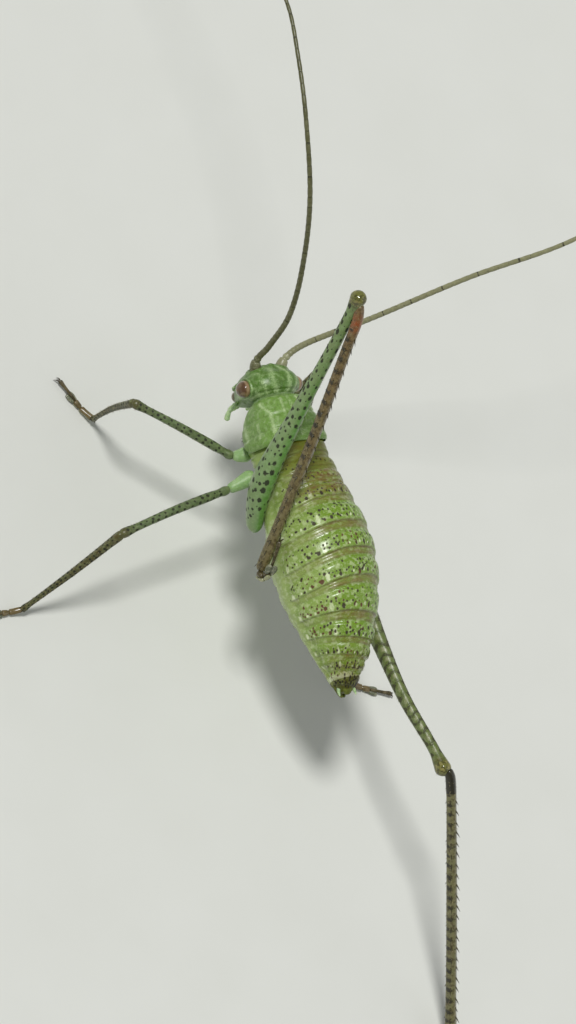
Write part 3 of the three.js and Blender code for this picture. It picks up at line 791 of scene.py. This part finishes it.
PALP = [(0.42, 2.94, 4.18), (0.62, 2.84, 4.02), (0.73, 2.68, 3.87), (0.75, 2.47, 3.68)]
SMALL_PALP = [(0.2, 2.9, 3.85), (0.34, 2.86, 3.6), (0.38, 2.88, 3.38)]
PALP_SHAPE = [
    (0, 0.08), (0.24, 0.1), (0.27, 0.07), (0.3, 0.085), (0.5, 0.095), (0.53, 0.07), (0.56, 0.08),
    (0.9, 0.105), (1, 0.09),
]


def make_palps():
    made = []
    for line, size in ((PALP, 1.0), (SMALL_PALP, 0.6)):
        shape = [(s, wide * size) for s, wide in PALP_SHAPE]
        made += [limb(Path(side), shape, (0, 1, 0), 60, 20, "soft", pale=0.75) for side in both_sides(line)]
    return made


def make_eyes():
    rows = np.linspace(0.04, np.pi - 0.04, EYE_ROWS)[:, None]
    turn = all_round(EYE_COLUMNS)
    x, y, z = np.sin(rows) * np.cos(turn), np.sin(rows) * np.sin(turn), np.cos(rows)
    for sign, side in ((-1, "left"), (1, "right")):
        c, s = math.cos(EYE_TILT), sign * math.sin(EYE_TILT)
        wide, long, high = EYE_SIZE
        ball = grid(x * wide * c + z * high * s, y * long, z * high * c - x * wide * s)
        patch = Patch(ball + EYE_MIDDLE * [sign, 1, 1], "eye", pale=0.7 * smooth(0.35, 0.1, x * sign))
        join(f"eye_{side}_look", [patch], ["eye"], [f"eye_{side}"])


# ---- limbs ----

CAP = np.array([0.02, 0.1, 0.25, 0.45, 0.7])  # rows on a limb's round end, in its radii from the tip


def limb(path, shape, across, rows, columns, finish, ridge=0.0, **marks):
    """A limb swept along a path, round at both ends.

    shape holds (share of the path, half width square to across, half thickness along across).
    A mark may be a function of share and angle, and the finish one of share.
    """
    wide = track([(s[0], s[1]) for s in shape])
    thick = track([(s[0], s[-1]) for s in shape])
    start, end = wide(0) / path.length, wide(1) / path.length
    share = np.r_[start * CAP, np.linspace(start, 1 - end, rows), 1 - end * CAP[::-1]]
    fullness = np.r_[dome(1 - CAP), np.ones(rows), dome(1 - CAP)[::-1]]
    side = unit(np.array(across, float))
    out, over = path.axes(share, side)[1:]
    turn = all_round(columns)
    swell = 1 + ridge * np.cos(4 * turn)
    a = (wide(share) * fullness)[:, None] * np.cos(turn) * swell
    b = (thick(share) * fullness)[:, None] * np.sin(turn) * swell
    points = path.at(share)[:, None] + out[:, None] * a[..., None] + over[:, None] * b[..., None]
    values = {k: v(share[:, None], turn[None]) if callable(v) else v for k, v in marks.items()}
    patch = Patch(points, finish(share) if callable(finish) else finish, **values)
    patch.path, patch.wide, patch.thick, patch.side, patch.share = path, wide, thick, side, share
    return patch


LEG_PARTS = ("coxa", "femur", "tibia", "tarsus")
LEG_LINES = {
    "fore_left": [
        [(-0.74, 0.96, 4.76), (-1.09, 0.96, 4.55), (-1.38, 1, 4.42)],
        [(-1.38, 1, 4.42), (-3.1, 2.2, 4.38), (-4.7, 3.35, 4.15)],
        [(-4.7, 3.35, 4.15), (-4.34, 3.7, 2.22), (-4.02, 3.85, 0.32)],
        [(-4.02, 3.85, 0.3), (-4.3, 4.3, 0.15), (-4.62, 4.85, 0.13), (-4.95, 5.4, 0.16)],
    ],
    "fore_right": [
        [(0.74, 0.96, 4.76), (1.09, 0.96, 4.55), (1.38, 1, 4.42)],
        [(1.38, 1, 4.42), (2.45, 2.46, 3.95), (3.68, 3.92, 3.35)],
        [(3.68, 3.92, 3.35), (2.85, 3.22, 1.9), (2.05, 2.5, 0.32)],
        [(2.05, 2.5, 0.3), (2.45, 2.8, 0.15), (3, 3.25, 0.13), (3.4, 3.65, 0.16)],
    ],
    "middle_left": [
        [(-0.95, 0.1, 4.98), (-1.55, -0.11, 4.84), (-2.06, -0.27, 4.72)],
        [(-2.06, -0.27, 4.72), (-4.28, -0.75, 4.6), (-6.5, -1.33, 4.23)],
        [(-6.5, -1.33, 4.23), (-7.65, -2.08, 2.29), (-8.72, -2.73, 0.32)],
        [(-8.72, -2.73, 0.3), (-9.1, -2.75, 0.15), (-9.7, -2.77, 0.13), (-10.3, -2.79, 0.16)],
    ],
    "middle_right": [
        [(0.9, 0.15, 4.9), (1.5, -0.1, 4.65), (2, -0.45, 4.6)],
        [(2, -0.45, 4.6), (2.45, -2.6, 4.62), (2.8, -4.75, 4.4)],
        [(2.8, -4.75, 4.4), (3.48, -5.8, 2.35), (4.05, -6.75, 0.32)],
        [(4.05, -6.75, 0.3), (4.5, -6.9, 0.15), (5.1, -7.1, 0.13), (5.7, -7.28, 0.16)],
    ],
    "hind_left": [
        [(-0.85, -0.85, 5.1), (-1.3, -1.15, 5), (-1.62, -1.5, 5.2)],
        [
            (-1.7, -1.95, 5.15), (-1.84, -0.72, 6.5), (-1.4, 0.95, 8.75), (-0.76, 2.93, 11.5),
            (-0.38, 4.27, 13.38),
        ],
        [
            (-0.39, 3.93, 13.11), (-0.42, 3.4, 12.75), (-0.58, 2.74, 12.09), (-1.14, 0.62, 10.12),
            (-1.66, -1.08, 8.55), (-2.44, -3.65, 6.11),
        ],
        [
            (-2.5, -3.66, 6.1), (-2.5, -3.86, 6.32), (-2.42, -3.83, 6.62), (-2.33, -3.5, 6.98),
            (-2.13, -2.91, 7.34),
        ],
    ],
    "hind_right": [
        [(0.85, -0.85, 5.1), (1.25, -1.2, 4.9), (1.45, -1.6, 4.9)],
        [
            (1.52, -1.75, 4.95), (1.72, -4, 5.45), (1.83, -6.9, 6.1), (2, -8.9, 6.5), (2.35, -10.84, 6.99),
            (2.52, -11.93, 7.15),
        ],
        [
            (2.54, -11.72, 7.3), (2.69, -12.05, 7.11), (2.95, -13.1, 6.28), (3.85, -16.9, 3.1),
            (4.62, -20.04, 0.34),
        ],
        [(4.62, -20.04, 0.32), (4.62, -20.5, 0.16), (4.58, -21.1, 0.13), (4.52, -21.65, 0.16)],
    ],
}
LEGS = {name: dict(zip(LEG_PARTS, lines)) for name, lines in LEG_LINES.items()}
LEG_SHAPES = {
    "coxa": [(0, 0.34), (0.4, 0.27), (0.8, 0.2), (1, 0.17)],
    "femur": [
        (0, 0.13), (0.05, 0.17), (0.1, 0.14), (0.2, 0.165), (0.5, 0.155), (0.85, 0.14), (0.95, 0.18),
        (1, 0.15),
    ],
    "tibia": [(0, 0.14), (0.05, 0.165), (0.14, 0.15), (0.5, 0.125), (0.9, 0.095), (0.97, 0.12), (1, 0.1)],
    "hind_femur": [
        (0, 0.36, 0.26), (0.1, 0.56, 0.36), (0.2, 0.62, 0.39), (0.35, 0.48, 0.33), (0.55, 0.31, 0.25),
        (0.8, 0.23, 0.205), (0.91, 0.22, 0.2), (0.95, 0.27, 0.26), (0.975, 0.31, 0.3), (1, 0.27, 0.26),
    ],
    "hind_tibia": [
        (0, 0.14), (0.03, 0.18), (0.08, 0.185), (0.11, 0.18), (0.5, 0.195), (0.85, 0.195), (0.96, 0.215),
        (1, 0.17),
    ],
}
OVERRUN = 0.09  # how far a shin or thigh runs on into its neighbour at each end, so that joints are closed
KNEE_SHARE = 0.952  # where a hind thigh's mottled knee begins
SPINE_GAP = 0.42  # from one pair of a hind shin's spines to the next


def leg_plane(leg):
    """The direction square to the plane in which a leg bends."""
    base, knee, ankle = (np.array(point) for point in (leg["femur"][0], leg["femur"][-1], leg["tibia"][-1]))
    return unit(np.cross(knee - base, ankle - knee))


# Rows of spots down a limb: angle at its base and by the knee, half width, gap, first and last
# share, and stretch.
BROAD_THIGH_ROWS = [
    (-11, 20, 0.1, 0.4, 0.1, 0.95, 1.5),
    (-45, -62, 0.085, 0.36, 0.06, 0.95, 1.9),
    (-92, -96, 0.085, 0.42, 0.06, 0.9, 2.0),
    (-28, -20, 0.036, 0.34, 0.07, 0.94, 1.3),
    (-66, -82, 0.05, 0.36, 0.06, 0.94, 1.5),
    (14, 44, 0.035, 0.5, 0.1, 0.94, 1.6),
    (40, 62, 0.075, 0.44, 0.1, 0.95, 2.0),
    (78, 95, 0.08, 0.4, 0.08, 0.95, 1.8),
    (112, 125, 0.06, 0.36, 0.06, 0.95, 1.8),
    (150, 160, 0.08, 0.42, 0.08, 0.9, 1.8),
    (-128, -125, 0.085, 0.4, 0.06, 0.95, 1.8),
    (-155, -150, 0.05, 0.36, 0.08, 0.9, 1.8),
]
SIDE_ROWS = [row for row in BROAD_THIGH_ROWS if 70 < abs(row[0]) < 120]
THIGH_ROWS = [(turn, turn, 0.06, 0.28, 0.1, 0.95, 0.9) for turn in (20, 70, 125, 180, 235, 290, 335)]
SHIN_ROWS = [(turn, turn, 0.055, 0.22, 0.05, 1.0, 1.3) for turn in (10, 60, 110, 160, 215, 250, 310)]


def spot_rows(path, shape, rows):
    """A mark of spots in rows down a limb, smaller where the limb is thinner."""
    wide, thick = (track([(s[0], s[k]) for s in shape]) for k in (1, -1))
    full = max(wide(np.linspace(0, 1, 50)))
    spots = []
    for base, knee, size, gap, first, last, stretch in rows:
        place = first * path.length + rng.uniform(0, gap)
        while place < last * path.length:
            share = place / path.length
            scale = (0.45 + 0.55 * wide(share) / full) * rng.uniform(0.7, 1.15)
            angle = base + (knee - base) * smooth(0.3, 0.75, share)
            slip = rng.normal(0, 0.08)
            long = size * scale * (1.1 + (stretch - 1) * smooth(0.3, 0.9, share))
            spots.append((place, math.radians(angle) + slip, long, size * scale))
            place += gap * rng.uniform(0.8, 1.25)

    def mark(share, angles):
        share = share[:, 0]
        angles = np.broadcast_to(angles, (len(share), angles.size))
        return spotted(share * path.length, angles, (wide(share) + thick(share)) / 2, spots)

    return mark


def barred(path, top):
    """Pale cells on the back of a thigh, between soft dark bars and a dark line down each side."""

    def marks(share, angles):
        away = np.degrees(turned_by(angles - top))
        run = share * path.length
        wave = np.cos(2 * np.pi * (run / 0.4 + 0.2 * np.sin(run * 3.1) + 0.14 * np.sin(away * 0.06 + run)))
        bars = smooth(-0.2, 0.9, wave) * (0.78 + 0.16 * np.sin(run * 2.3 + 1) * np.cos(away * 0.03))
        lines = 1.0 * hump(-42, 17, away) + 0.9 * hump(84, 17, away) * smooth(-0.4, 0.5, wave)
        there = smooth(0.1, 0.25, share) * (1 - 0.7 * smooth(0.92, 0.96, share))
        dark = 0.74 * np.clip(lines + bars * (np.abs(away - 24) < 66), 0, 1) * there
        return dark, 0.9 * smooth(0.4, -0.7, wave) * hump(24, 34, away) * there

    return marks


def shin_rings(path, raised):
    """Broken dark rings round a hind shin where its spines stand.

    They fade near the foot of the raised one, and the other one is dark by the knee.
    """

    def mark(share, angles):
        run = share * path.length
        wave = np.cos(2 * np.pi * run / SPINE_GAP + 1.6 * np.sin(angles + 1) + 0.6 * np.sin(run * 3.7))
        rings = smooth(-0.2, 1.0, wave) * (0.42 + 0.1 * np.sin(angles * 3 + run * 1.7))
        rings = rings * (1 - 0.75 * raised * smooth(0.45, 0.75, share))
        edges = (0.25 + 0.2 * share) * np.abs(np.sin(angles + 0.4)) ** 4
        base = 0 if raised else 1.3 * (1 - smooth(0.075, 0.095, share))
        return np.maximum((rings + edges) * (share > 0.09), base)

    return mark


def leg_patches(name, leg):
    hind, raised = name.startswith("hind"), name == "hind_left"
    kind, overrun = ("hind_", 0) if hind else ("", OVERRUN)
    across = leg_plane(leg)
    femur, tibia = Path(leg["femur"], overrun), Path(leg["tibia"], overrun)
    thigh_shape, shin_shape = LEG_SHAPES[kind + "femur"], LEG_SHAPES[kind + "tibia"]
    on_knee = lambda share: hind * (share > KNEE_SHARE)
    browned = lambda share: 0.85 * smooth(0.92, 0.955, share) + 0.4 * raised * smooth(0.35, 0.9, share)
    thigh = {
        "tone": lambda share, angles: 0.5 * smooth(0.75, 1, share),
        "band": lambda share, angles: browned(share) * (1 - on_knee(share)),
        "line": lambda share, angles: 0.6 * hump(0.95, 0.005, share),
    }
    ground, rows = ("tan_thigh", SIDE_ROWS) if hind else ("leg", THIGH_ROWS)
    if raised:
        # A greener stripe along its upper edge is painted greenish reflected light.
        ground, rows = "thigh", BROAD_THIGH_ROWS
        upper = lambda angles: hump(14, 26, np.degrees(turned_by(angles)))
        thigh["tone"] = lambda share, angles: 0.9 - 0.9 * upper(angles) * (1 - 0.8 * smooth(0.5, 0.8, share))
    thigh["dark"] = spots = spot_rows(femur, thigh_shape, rows)
    if hind and not raised:
        marks = barred(femur, 0.0 if femur.axes(0.5, across)[1][2] > 0 else np.pi)
        thigh["dark"] = lambda *place: np.maximum(marks(*place)[0], spots(*place))
        thigh["pale"] = lambda *place: marks(*place)[1]
        thigh["tone"] = lambda share, angles: smooth(0.1, 0.5, share)
    reddened = 0.95 * raised if hind else 0.5
    shin = {
        "dark": shin_rings(tibia, raised) if hind else spot_rows(tibia, shin_shape, SHIN_ROWS),
        "tone": lambda share, angles: 0.6 * share if raised else 0.95,
        "band": lambda share, angles: reddened * hump(0.07, 0.03, share),
    }
    finish = lambda share: np.where(on_knee(share), "knee", ground)
    rows, columns, skin = (300, 56, "shin") if hind else (120, 28, "leg")
    return {
        "coxa": limb(Path(leg["coxa"]), LEG_SHAPES["coxa"], across, 40, 36, "soft"),
        "femur": limb(femur, thigh_shape, across, rows, columns, finish, **thigh),
        "tibia": limb(tibia, shin_shape, across, rows, 28, skin, 0.06, **shin),
    }


def foot_patches(name, leg):
    """Four joints: two with pads, one with two lobes, and a thin one that carries the claws."""
    path = Path(leg["tarsus"])
    start, end = path.at(0.0), path.at(1.0)
    side = unit(np.cross([0, 0, 1], end - start))
    raised = name == "hind_left"
    full, low, tones = (1.3, 0.16, (0.1, 0.0, -0.2)) if raised else (1.0, 0.08, (0.65, 0.45, 0.1))
    if raised:
        side = leg_plane(leg)
        sole = np.cross(side, path.along(0.25))
        side = side * np.sign(sole @ (path.at(0.25) - path.at(0.5)))
    down = lambda s: np.cross(side, path.along(s))
    # Where the first joint, the second, and the lobes of the third end along the foot, and its pads.
    first_end, second_end, lobes_end = (0.2, 0.34, 0.52) if raised else (0.33, 0.51, 0.7)
    pads = ((0, 0.1), (0.09, 0.2), (0.22, 0.33)) if raised else ((0.02, 0.17), (0.17, 0.33), (0.36, 0.5))

    def joint(first, last, shape, size, finish, tone, drop=(0, 0), slide=0.0):
        shape = [(share, wide * size, thick * size) for share, wide, thick in shape]
        shares, drops = np.linspace(first, last, 6), np.linspace(*drop, 6)
        points = [path.at(s) + down(s) * d + side * slide for s, d in zip(shares, drops)]
        return limb(Path(points), shape, side, 26, 18, finish, tone=tone)

    heel = [(0, 0.1, 0.11), (0.5, 0.09, 0.115), (1, 0.08, 0.115)]
    instep = [(0, 0.07, 0.09), (0.6, 0.08, 0.115), (1, 0.07, 0.115)]
    thin = [(0, 0.05, 0.05), (0.7, 0.06, 0.065), (0.93, 0.08, 0.085), (1, 0.05, 0.055)]
    pad = [(0, 0.05, 0.08), (0.5, 0.065, 0.1), (1, 0.05, 0.08)]
    lobe = [(0, 0.05, 0.05), (0.6, 0.06, 0.09), (1, 0.045, 0.06)]
    made = [
        joint(0, first_end, heel, full, "foot", tones[0]),
        joint(first_end - 0.01, second_end, instep, full, "foot", tones[1]),
        joint(second_end - 0.01, 1, thin, 1, "foot", tones[2], (-0.04, -0.02)),
    ]
    made += [joint(first, last, pad, 1, "pad", 0.2, (low, low)) for first, last in pads]
    made += [
        joint(second_end - 0.03, lobes_end, lobe, full, "pad", 1.0, (0.035, 0.06), slide * full)
        for slide in (-0.08, 0.08)
    ]
    ahead = path.along(1.0)
    claws = [(end + side * 0.03 * sign, unit(ahead + side * sign * 0.45), down(1.0)) for sign in (-1, 1)]
    return made, claws


def make_tail():
    """The two cerci over the valves of the ovipositor bud, and the plate that covers their roots."""
    cercus = [(0.26, -8.05, 6), (0.33, -8.25, 6.02), (0.34, -8.42, 6.05)]
    cercus_shape = [(0, 0.08), (0.5, 0.06), (1, 0.02)]
    valve = [(0.07, -8.05, 5.7), (0.06, -8.26, 5.68), (0.04, -8.4, 5.76)]
    valve_shape = [(0, 0.16, 0.1), (0.6, 0.12, 0.07), (1, 0.05, 0.04)]
    made = []
    for k in (1, 0):
        made.append(limb(Path(both_sides(cercus)[k]), cercus_shape, (0, 0, 1), 30, 18, "soft", pale=0.6))
        made.append(limb(Path(both_sides(valve)[k]), valve_shape, (1, 0, 0), 24, 16, "tail", tone=0.3))
    plate = Path([(0, -8.05, 6.15), (0, -8.24, 6.1), (0, -8.38, 6.0)])
    plate_shape = [(0, 0.1, 0.24), (0.5, 0.08, 0.2), (1, 0.04, 0.1)]
    return [*made, limb(plate, plate_shape, (1, 0, 0), 20, 20, "tail", tone=0.2)]


# ---- feelers ----

ANTENNAE = {
    "left": [
        (-0.46, 3.45, 5.68), (-0.5, 3.95, 6.05), (-0.3, 4.25, 6.7), (-0.05, 4.95, 8.05), (-0.1, 6.2, 9.62),
        (-0.5, 8.16, 11.73), (-0.62, 10.8, 12.85), (-0.5, 13, 13.1), (-0.4, 15, 13.05), (-0.7, 19, 12.2),
        (-1.5, 23.5, 10.4), (-2.6, 27, 8.2),
    ],
    "right": [
        (0.46, 3.45, 5.68), (0.74, 3.95, 6), (1.2, 4.22, 6.4), (1.98, 4.36, 7.26), (3, 4.47, 8.4),
        (5.6, 4.9, 11.3), (8.34, 5.17, 14.27), (12.2, 6.6, 17.4), (16, 9, 19.2), (19.3, 12.4, 19.8),
    ],
}
FEELER_WIDTH = track([(0, 0.12), (2, 0.108), (4, 0.098), (8, 0.09), (13, 0.075), (20, 0.05), (28, 0.028)])
FEELER_ROWS, FEELER_COLUMNS = 760, 14


def make_antenna(side):
    path = Path(ANTENNAE[side])
    pale_one = side == "right"
    knots, joint = [0.0, 0.62, 0.84], 0.15
    while knots[-1] < path.length:
        knots.append(knots[-1] + joint)
        joint = min(joint * 1.03, 0.42)
    knots = np.array(knots)
    run = np.linspace(0, path.length, FEELER_ROWS)[:, None]
    k = np.clip(np.searchsorted(knots, run, side="right") - 1, 0, len(knots) - 2)
    within = (run - knots[k]) / (knots[k + 1] - knots[k])
    width = FEELER_WIDTH(run) * (0.94 + 0.12 * np.sin(np.pi * within) ** 0.7)
    width = np.where(k == 0, 0.135 + 0.07 * np.sin(np.pi * within * 0.9), width)
    width = np.where(k == 1, 0.1 + 0.04 * np.sin(np.pi * within), width)
    width = width * np.sqrt(np.clip((path.length - run) / 0.03, 0.02, 1))
    share = run[:, 0] / path.length
    out, over = path.axes(share, (-0.3, -0.2, -1.0))[1:]
    turn = all_round(FEELER_COLUMNS)[:, None]
    ring = out[:, None] * np.cos(turn) + over[:, None] * np.sin(turn)
    strong = np.where(k % 4 == 0, 1.0, 0.0) if pale_one else np.where(k % 3 == 0, 0.8, 0.35)
    patch = Patch(
        path.at(share)[:, None] + ring * width[..., None],
        "feeler",
        dark=0.75 * smooth(0.6, 0.95, within) * (0.6 + 0.4 * strong) * (k > 1),
        pale=0.55 * hump(0.35, 0.3, within) * (strong == 0) * pale_one + 0.5 * (k <= 1),
        tone=0.95 if pale_one else 0.15,
    )
    nodes = [f"antenna_{side}_{part}" for part in ("base", "lower", "middle", "upper")]
    join(f"feeler_{side}", [patch], ["feeler"], nodes)


# ---- spines, claws and bristles ----

CONE_PLACE = 0.0015  # half the width of a cone's patch on the unwrap
BRISTLES = {"femur": 90, "tibia": 150}  # on each thigh and shin, and twice as many on hind ones
BRISTLES_ON_BACK = 420


def needles(name, finish, sets, columns=5, rows=4):
    """Many fine cones in one piece, each bent on its way, with its whole unwrap at its root's place.

    Each of the sets holds the cones' roots, ways, bends, widths, and places on the unwrap.
    """
    roots, ways, bends, widths, places = (np.concatenate(v) for v in zip(*sets))
    t = (np.arange(rows) / rows)[:, None]
    centres = roots[:, None] + ways[:, None] * t + bends[:, None] * t**2
    side = unit(np.cross(ways, [0.31, 0.52, 0.8]))
    other = unit(np.cross(ways, side))
    turn = (np.arange(columns) / columns * 2 * np.pi)[:, None]
    ring = side[:, None] * np.cos(turn) + other[:, None] * np.sin(turn)
    radii = widths[:, None] * (1 - t[:, 0]) ** 0.75
    rings = centres[:, :, None] + ring[:, None] * radii[:, :, None, None]
    count, each = len(roots), rows * columns + 1
    tips = roots + ways + bends
    points = np.concatenate([rings.reshape(count, -1, 3), tips[:, None]], 1).reshape(-1, 3)
    spread = CONE_PLACE * (1 - t)[..., None] * np.hstack([np.cos(turn), np.sin(turn)])
    spread = np.concatenate([spread.reshape(-1, 2), [[0, 0]]])
    c = np.arange(columns)[:, None]
    d = (c + 1) % columns
    belt = np.hstack([c, d, d + columns, c + columns])
    quads = np.concatenate([belt + row * columns for row in range(rows - 1)])
    last = (rows - 1) * columns
    ends = np.hstack([last + c, last + d, 0 * c + each - 1])
    faces = []
    for corners in (quads, ends, c.T[:, ::-1]):
        faces += (corners + np.arange(count)[:, None, None] * each).reshape(-1, corners.shape[1]).tolist()
    unwrap = (places[:, None] + spread).reshape(-1, 2)[np.concatenate(faces)]
    tone = np.tile(np.r_[np.repeat(1 - t, columns), 0], count)
    add_piece(name, points, faces, {"tone": tone}, unwrap, [finish], [0] * len(faces))


def on_limb(patch, share, angle):
    """A point on a limb, the way out of it, the way along it and its place on the unwrap."""
    along, out, over = patch.path.axes(share, patch.side)
    c, s = np.cos(angle), np.sin(angle)
    wide, thick = patch.wide(share), patch.thick(share)
    point = patch.path.at(share) + out * (c * wide)[..., None] + over * (s * thick)[..., None]
    normal = unit(out * (c * thick)[..., None] + over * (s * wide)[..., None])
    rows = np.interp(share, patch.share, np.arange(len(patch.share)))
    turns = (1 - angle / (2 * np.pi) if patch.reversed else angle / (2 * np.pi)) % 1
    return point, normal, along, patch.uv(rows, turns * patch.points.shape[1])


def back_of_shin(leg, tibia):
    """The angle on a shin that faces away from its thigh."""
    away = tibia.path.at(0.5) - Path(leg["femur"]).at(0.5)
    return 0.0 if tibia.path.axes(0.5, tibia.side)[1] @ away > 0 else np.pi


def cones_on(patch, shares, angles, lean, size, bend, width, depth):
    """A set of cones on a limb that lean on along it, rooted depth inside it, as needles() takes it."""
    point, normal, along, place = on_limb(patch, shares, angles)
    ways = unit(normal * lean + along) * size[:, None]
    return point - normal * depth, ways, along * bend[:, None], width, place


def grow_spines(legs):
    sets = []
    for name, leg in LEGS.items():
        tibia, hind = legs[name]["tibia"], name.startswith("hind")
        back, length = back_of_shin(leg, tibia), tibia.path.length
        gap, first, spur = (SPINE_GAP, 3, 0.24) if hind else (0.55, 2, 0.12)
        faces = [(back, 0.22), (back + np.pi, 0.132)] if hind else [(back + np.pi, 0.078)]
        for side in (-1, 1):
            for face, long in faces:
                shares = np.arange(first, length / gap - 0.3) * gap / length
                shares = shares + rng.normal(0, 0.003, len(shares))
                angles = face + side * (0.62 + rng.normal(0, 0.05, len(shares)))
                size = long * rng.uniform(0.8, 1.15, len(shares))
                width = 0.028 * np.sqrt(size / 0.2)
                sets.append(cones_on(tibia, shares, angles, 0.75, size, size * 0.2, width, 0.02))
        spurs = back + np.array([0.6, -0.6, 2.5, -2.5])
        each = np.ones(len(spurs))
        sets.append(cones_on(tibia, 0.975 * each, spurs, 0.6, spur * each, 0.03 * each, 0.03 * each, 0.02))
    needles("spines", "spine", sets)


def grow_claws(claws, foot):
    roots, ways, downs = (np.array(v) for v in zip(*claws))
    widths = np.full(len(roots), 0.035)
    places = np.tile(foot.uv(2, 2), (len(roots), 1))
    sets = [(roots, ways * 0.2, downs * 0.17 - ways * 0.05, widths, places)]
    needles("claws", "claw", sets, 8, 7)


def grow_bristles(legs, trunk):
    sets = []
    for name, leg in legs.items():
        for part, count in BRISTLES.items():
            count *= 2 if name.startswith("hind") else 1
            shares = rng.uniform(0.04, 0.98, count)
            angles = rng.uniform(0, 2 * np.pi, count)
            size = rng.uniform(0.05, 0.1, count)
            width = np.full(count, 0.006)
            sets.append(cones_on(leg[part], shares, angles, 0.8, size, size * 0.25, width, 0.005))
    count = BRISTLES_ON_BACK
    rows = rng.integers(6, int(len(trunk.points) * 0.7), count)
    columns = rng.integers(0, trunk.points.shape[1], count)
    normal = outward(trunk.points)[rows, columns]
    size = rng.uniform(0.04, 0.08, count)[:, None]
    roots = trunk.points[rows, columns] - normal * 0.005
    ways = unit(normal + [0, -0.8, 0]) * size
    sets.append((roots, ways, size * [0, -0.25, 0], np.full(count, 0.005), trunk.uv(rows, columns)))
    needles("bristles", "bristle", sets, 3, 2)


# ---- the whole animal ----

SKIN_FINISHES = (
    "abdomen thorax shield head soft thigh tan_thigh leg knee shin foot pad tail"
).split()
BARE_NODES = ("eye_", "antenna_")


def make_animal():
    trunk = make_trunk()
    legs = {name: leg_patches(name, leg) for name, leg in LEGS.items()}
    patches = [trunk, make_shield(), make_head(), *make_mouth(), *make_palps(), *make_tail()]
    patches += [part for leg in legs.values() for part in leg.values()]
    claws = []
    for name, leg in LEGS.items():
        joints, pair = foot_patches(name, leg)
        patches += joints
        claws += pair
    covered = [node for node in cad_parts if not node.startswith(BARE_NODES)]
    join("skin", patches, SKIN_FINISHES, covered)
    make_eyes()
    for side in ("left", "right"):
        make_antenna(side)
    grow_spines(legs)
    grow_claws(claws, patches[-1])
    grow_bristles(legs, trunk)


# ---- floor, light and camera ----

FLOOR_HALF = 4  # metres
# The photo's view: the way from the animal to the camera, and the way up in the picture.
VIEW_BACK = Vector((-0.5412, -0.188, 0.8196))
VIEW_UP = Vector((0.0920, 0.9556, 0.2799))
VIEW_MIDDLE = Vector((-1.752, -1.983, 7.680))
CAMERA_AWAY = 598.8
LENS = 600
SENSOR = 36


def make_floor():
    mesh = bpy.data.meshes.new("floor")
    corners = [(x * FLOOR_HALF, y * FLOOR_HALF, 0) for x, y in ((-1, -1), (1, -1), (1, 1), (-1, 1))]
    mesh.from_pydata(corners, [], [(0, 1, 2, 3)])
    mesh.materials.append(MATERIALS["floor"])
    link("floor", mesh)


def make_camera():
    data = bpy.data.cameras.new("camera")
    data.lens = LENS
    data.sensor_width = SENSOR
    data.clip_start, data.clip_end = 0.01, 20
    camera = link("camera", data)
    back = VIEW_BACK.normalized()
    right = VIEW_UP.cross(back).normalized()
    turn = Matrix((right, back.cross(right), back)).transposed().to_4x4()
    place = (VIEW_MIDDLE + Vector(SHIFT)) * MM + back * CAMERA_AWAY * MM
    camera.matrix_world = Matrix.Translation(place) @ turn
    bpy.context.scene.camera = camera


def make_light(name, towards, width, strength, colour=(1, 1, 1)):
    """A far lamp seen from the animal in the direction towards, width degrees across."""
    data = bpy.data.lights.new(name, "SUN")
    data.angle = math.radians(width)
    data.energy = strength
    data.color = colour
    link(name, data).rotation_euler = Vector(towards).to_track_quat("Z", "Y").to_euler()


def make_world():
    world = bpy.data.worlds.new("studio")
    world.use_nodes = True
    background = world.node_tree.nodes["Background"]
    background.inputs["Color"].default_value = (0.93, 0.95, 0.97, 1)
    background.inputs["Strength"].default_value = 0.3
    bpy.context.scene.world = world


make_animal()
make_floor()
make_world()
make_camera()
make_light("key", (-0.34, 0.22, 0.91), 11, 2.1)
make_light("fill", (0.6, -0.3, 0.5), 60, 0.35, (0.95, 0.98, 1))
bpy.context.scene.view_settings.view_transform = "Standard"
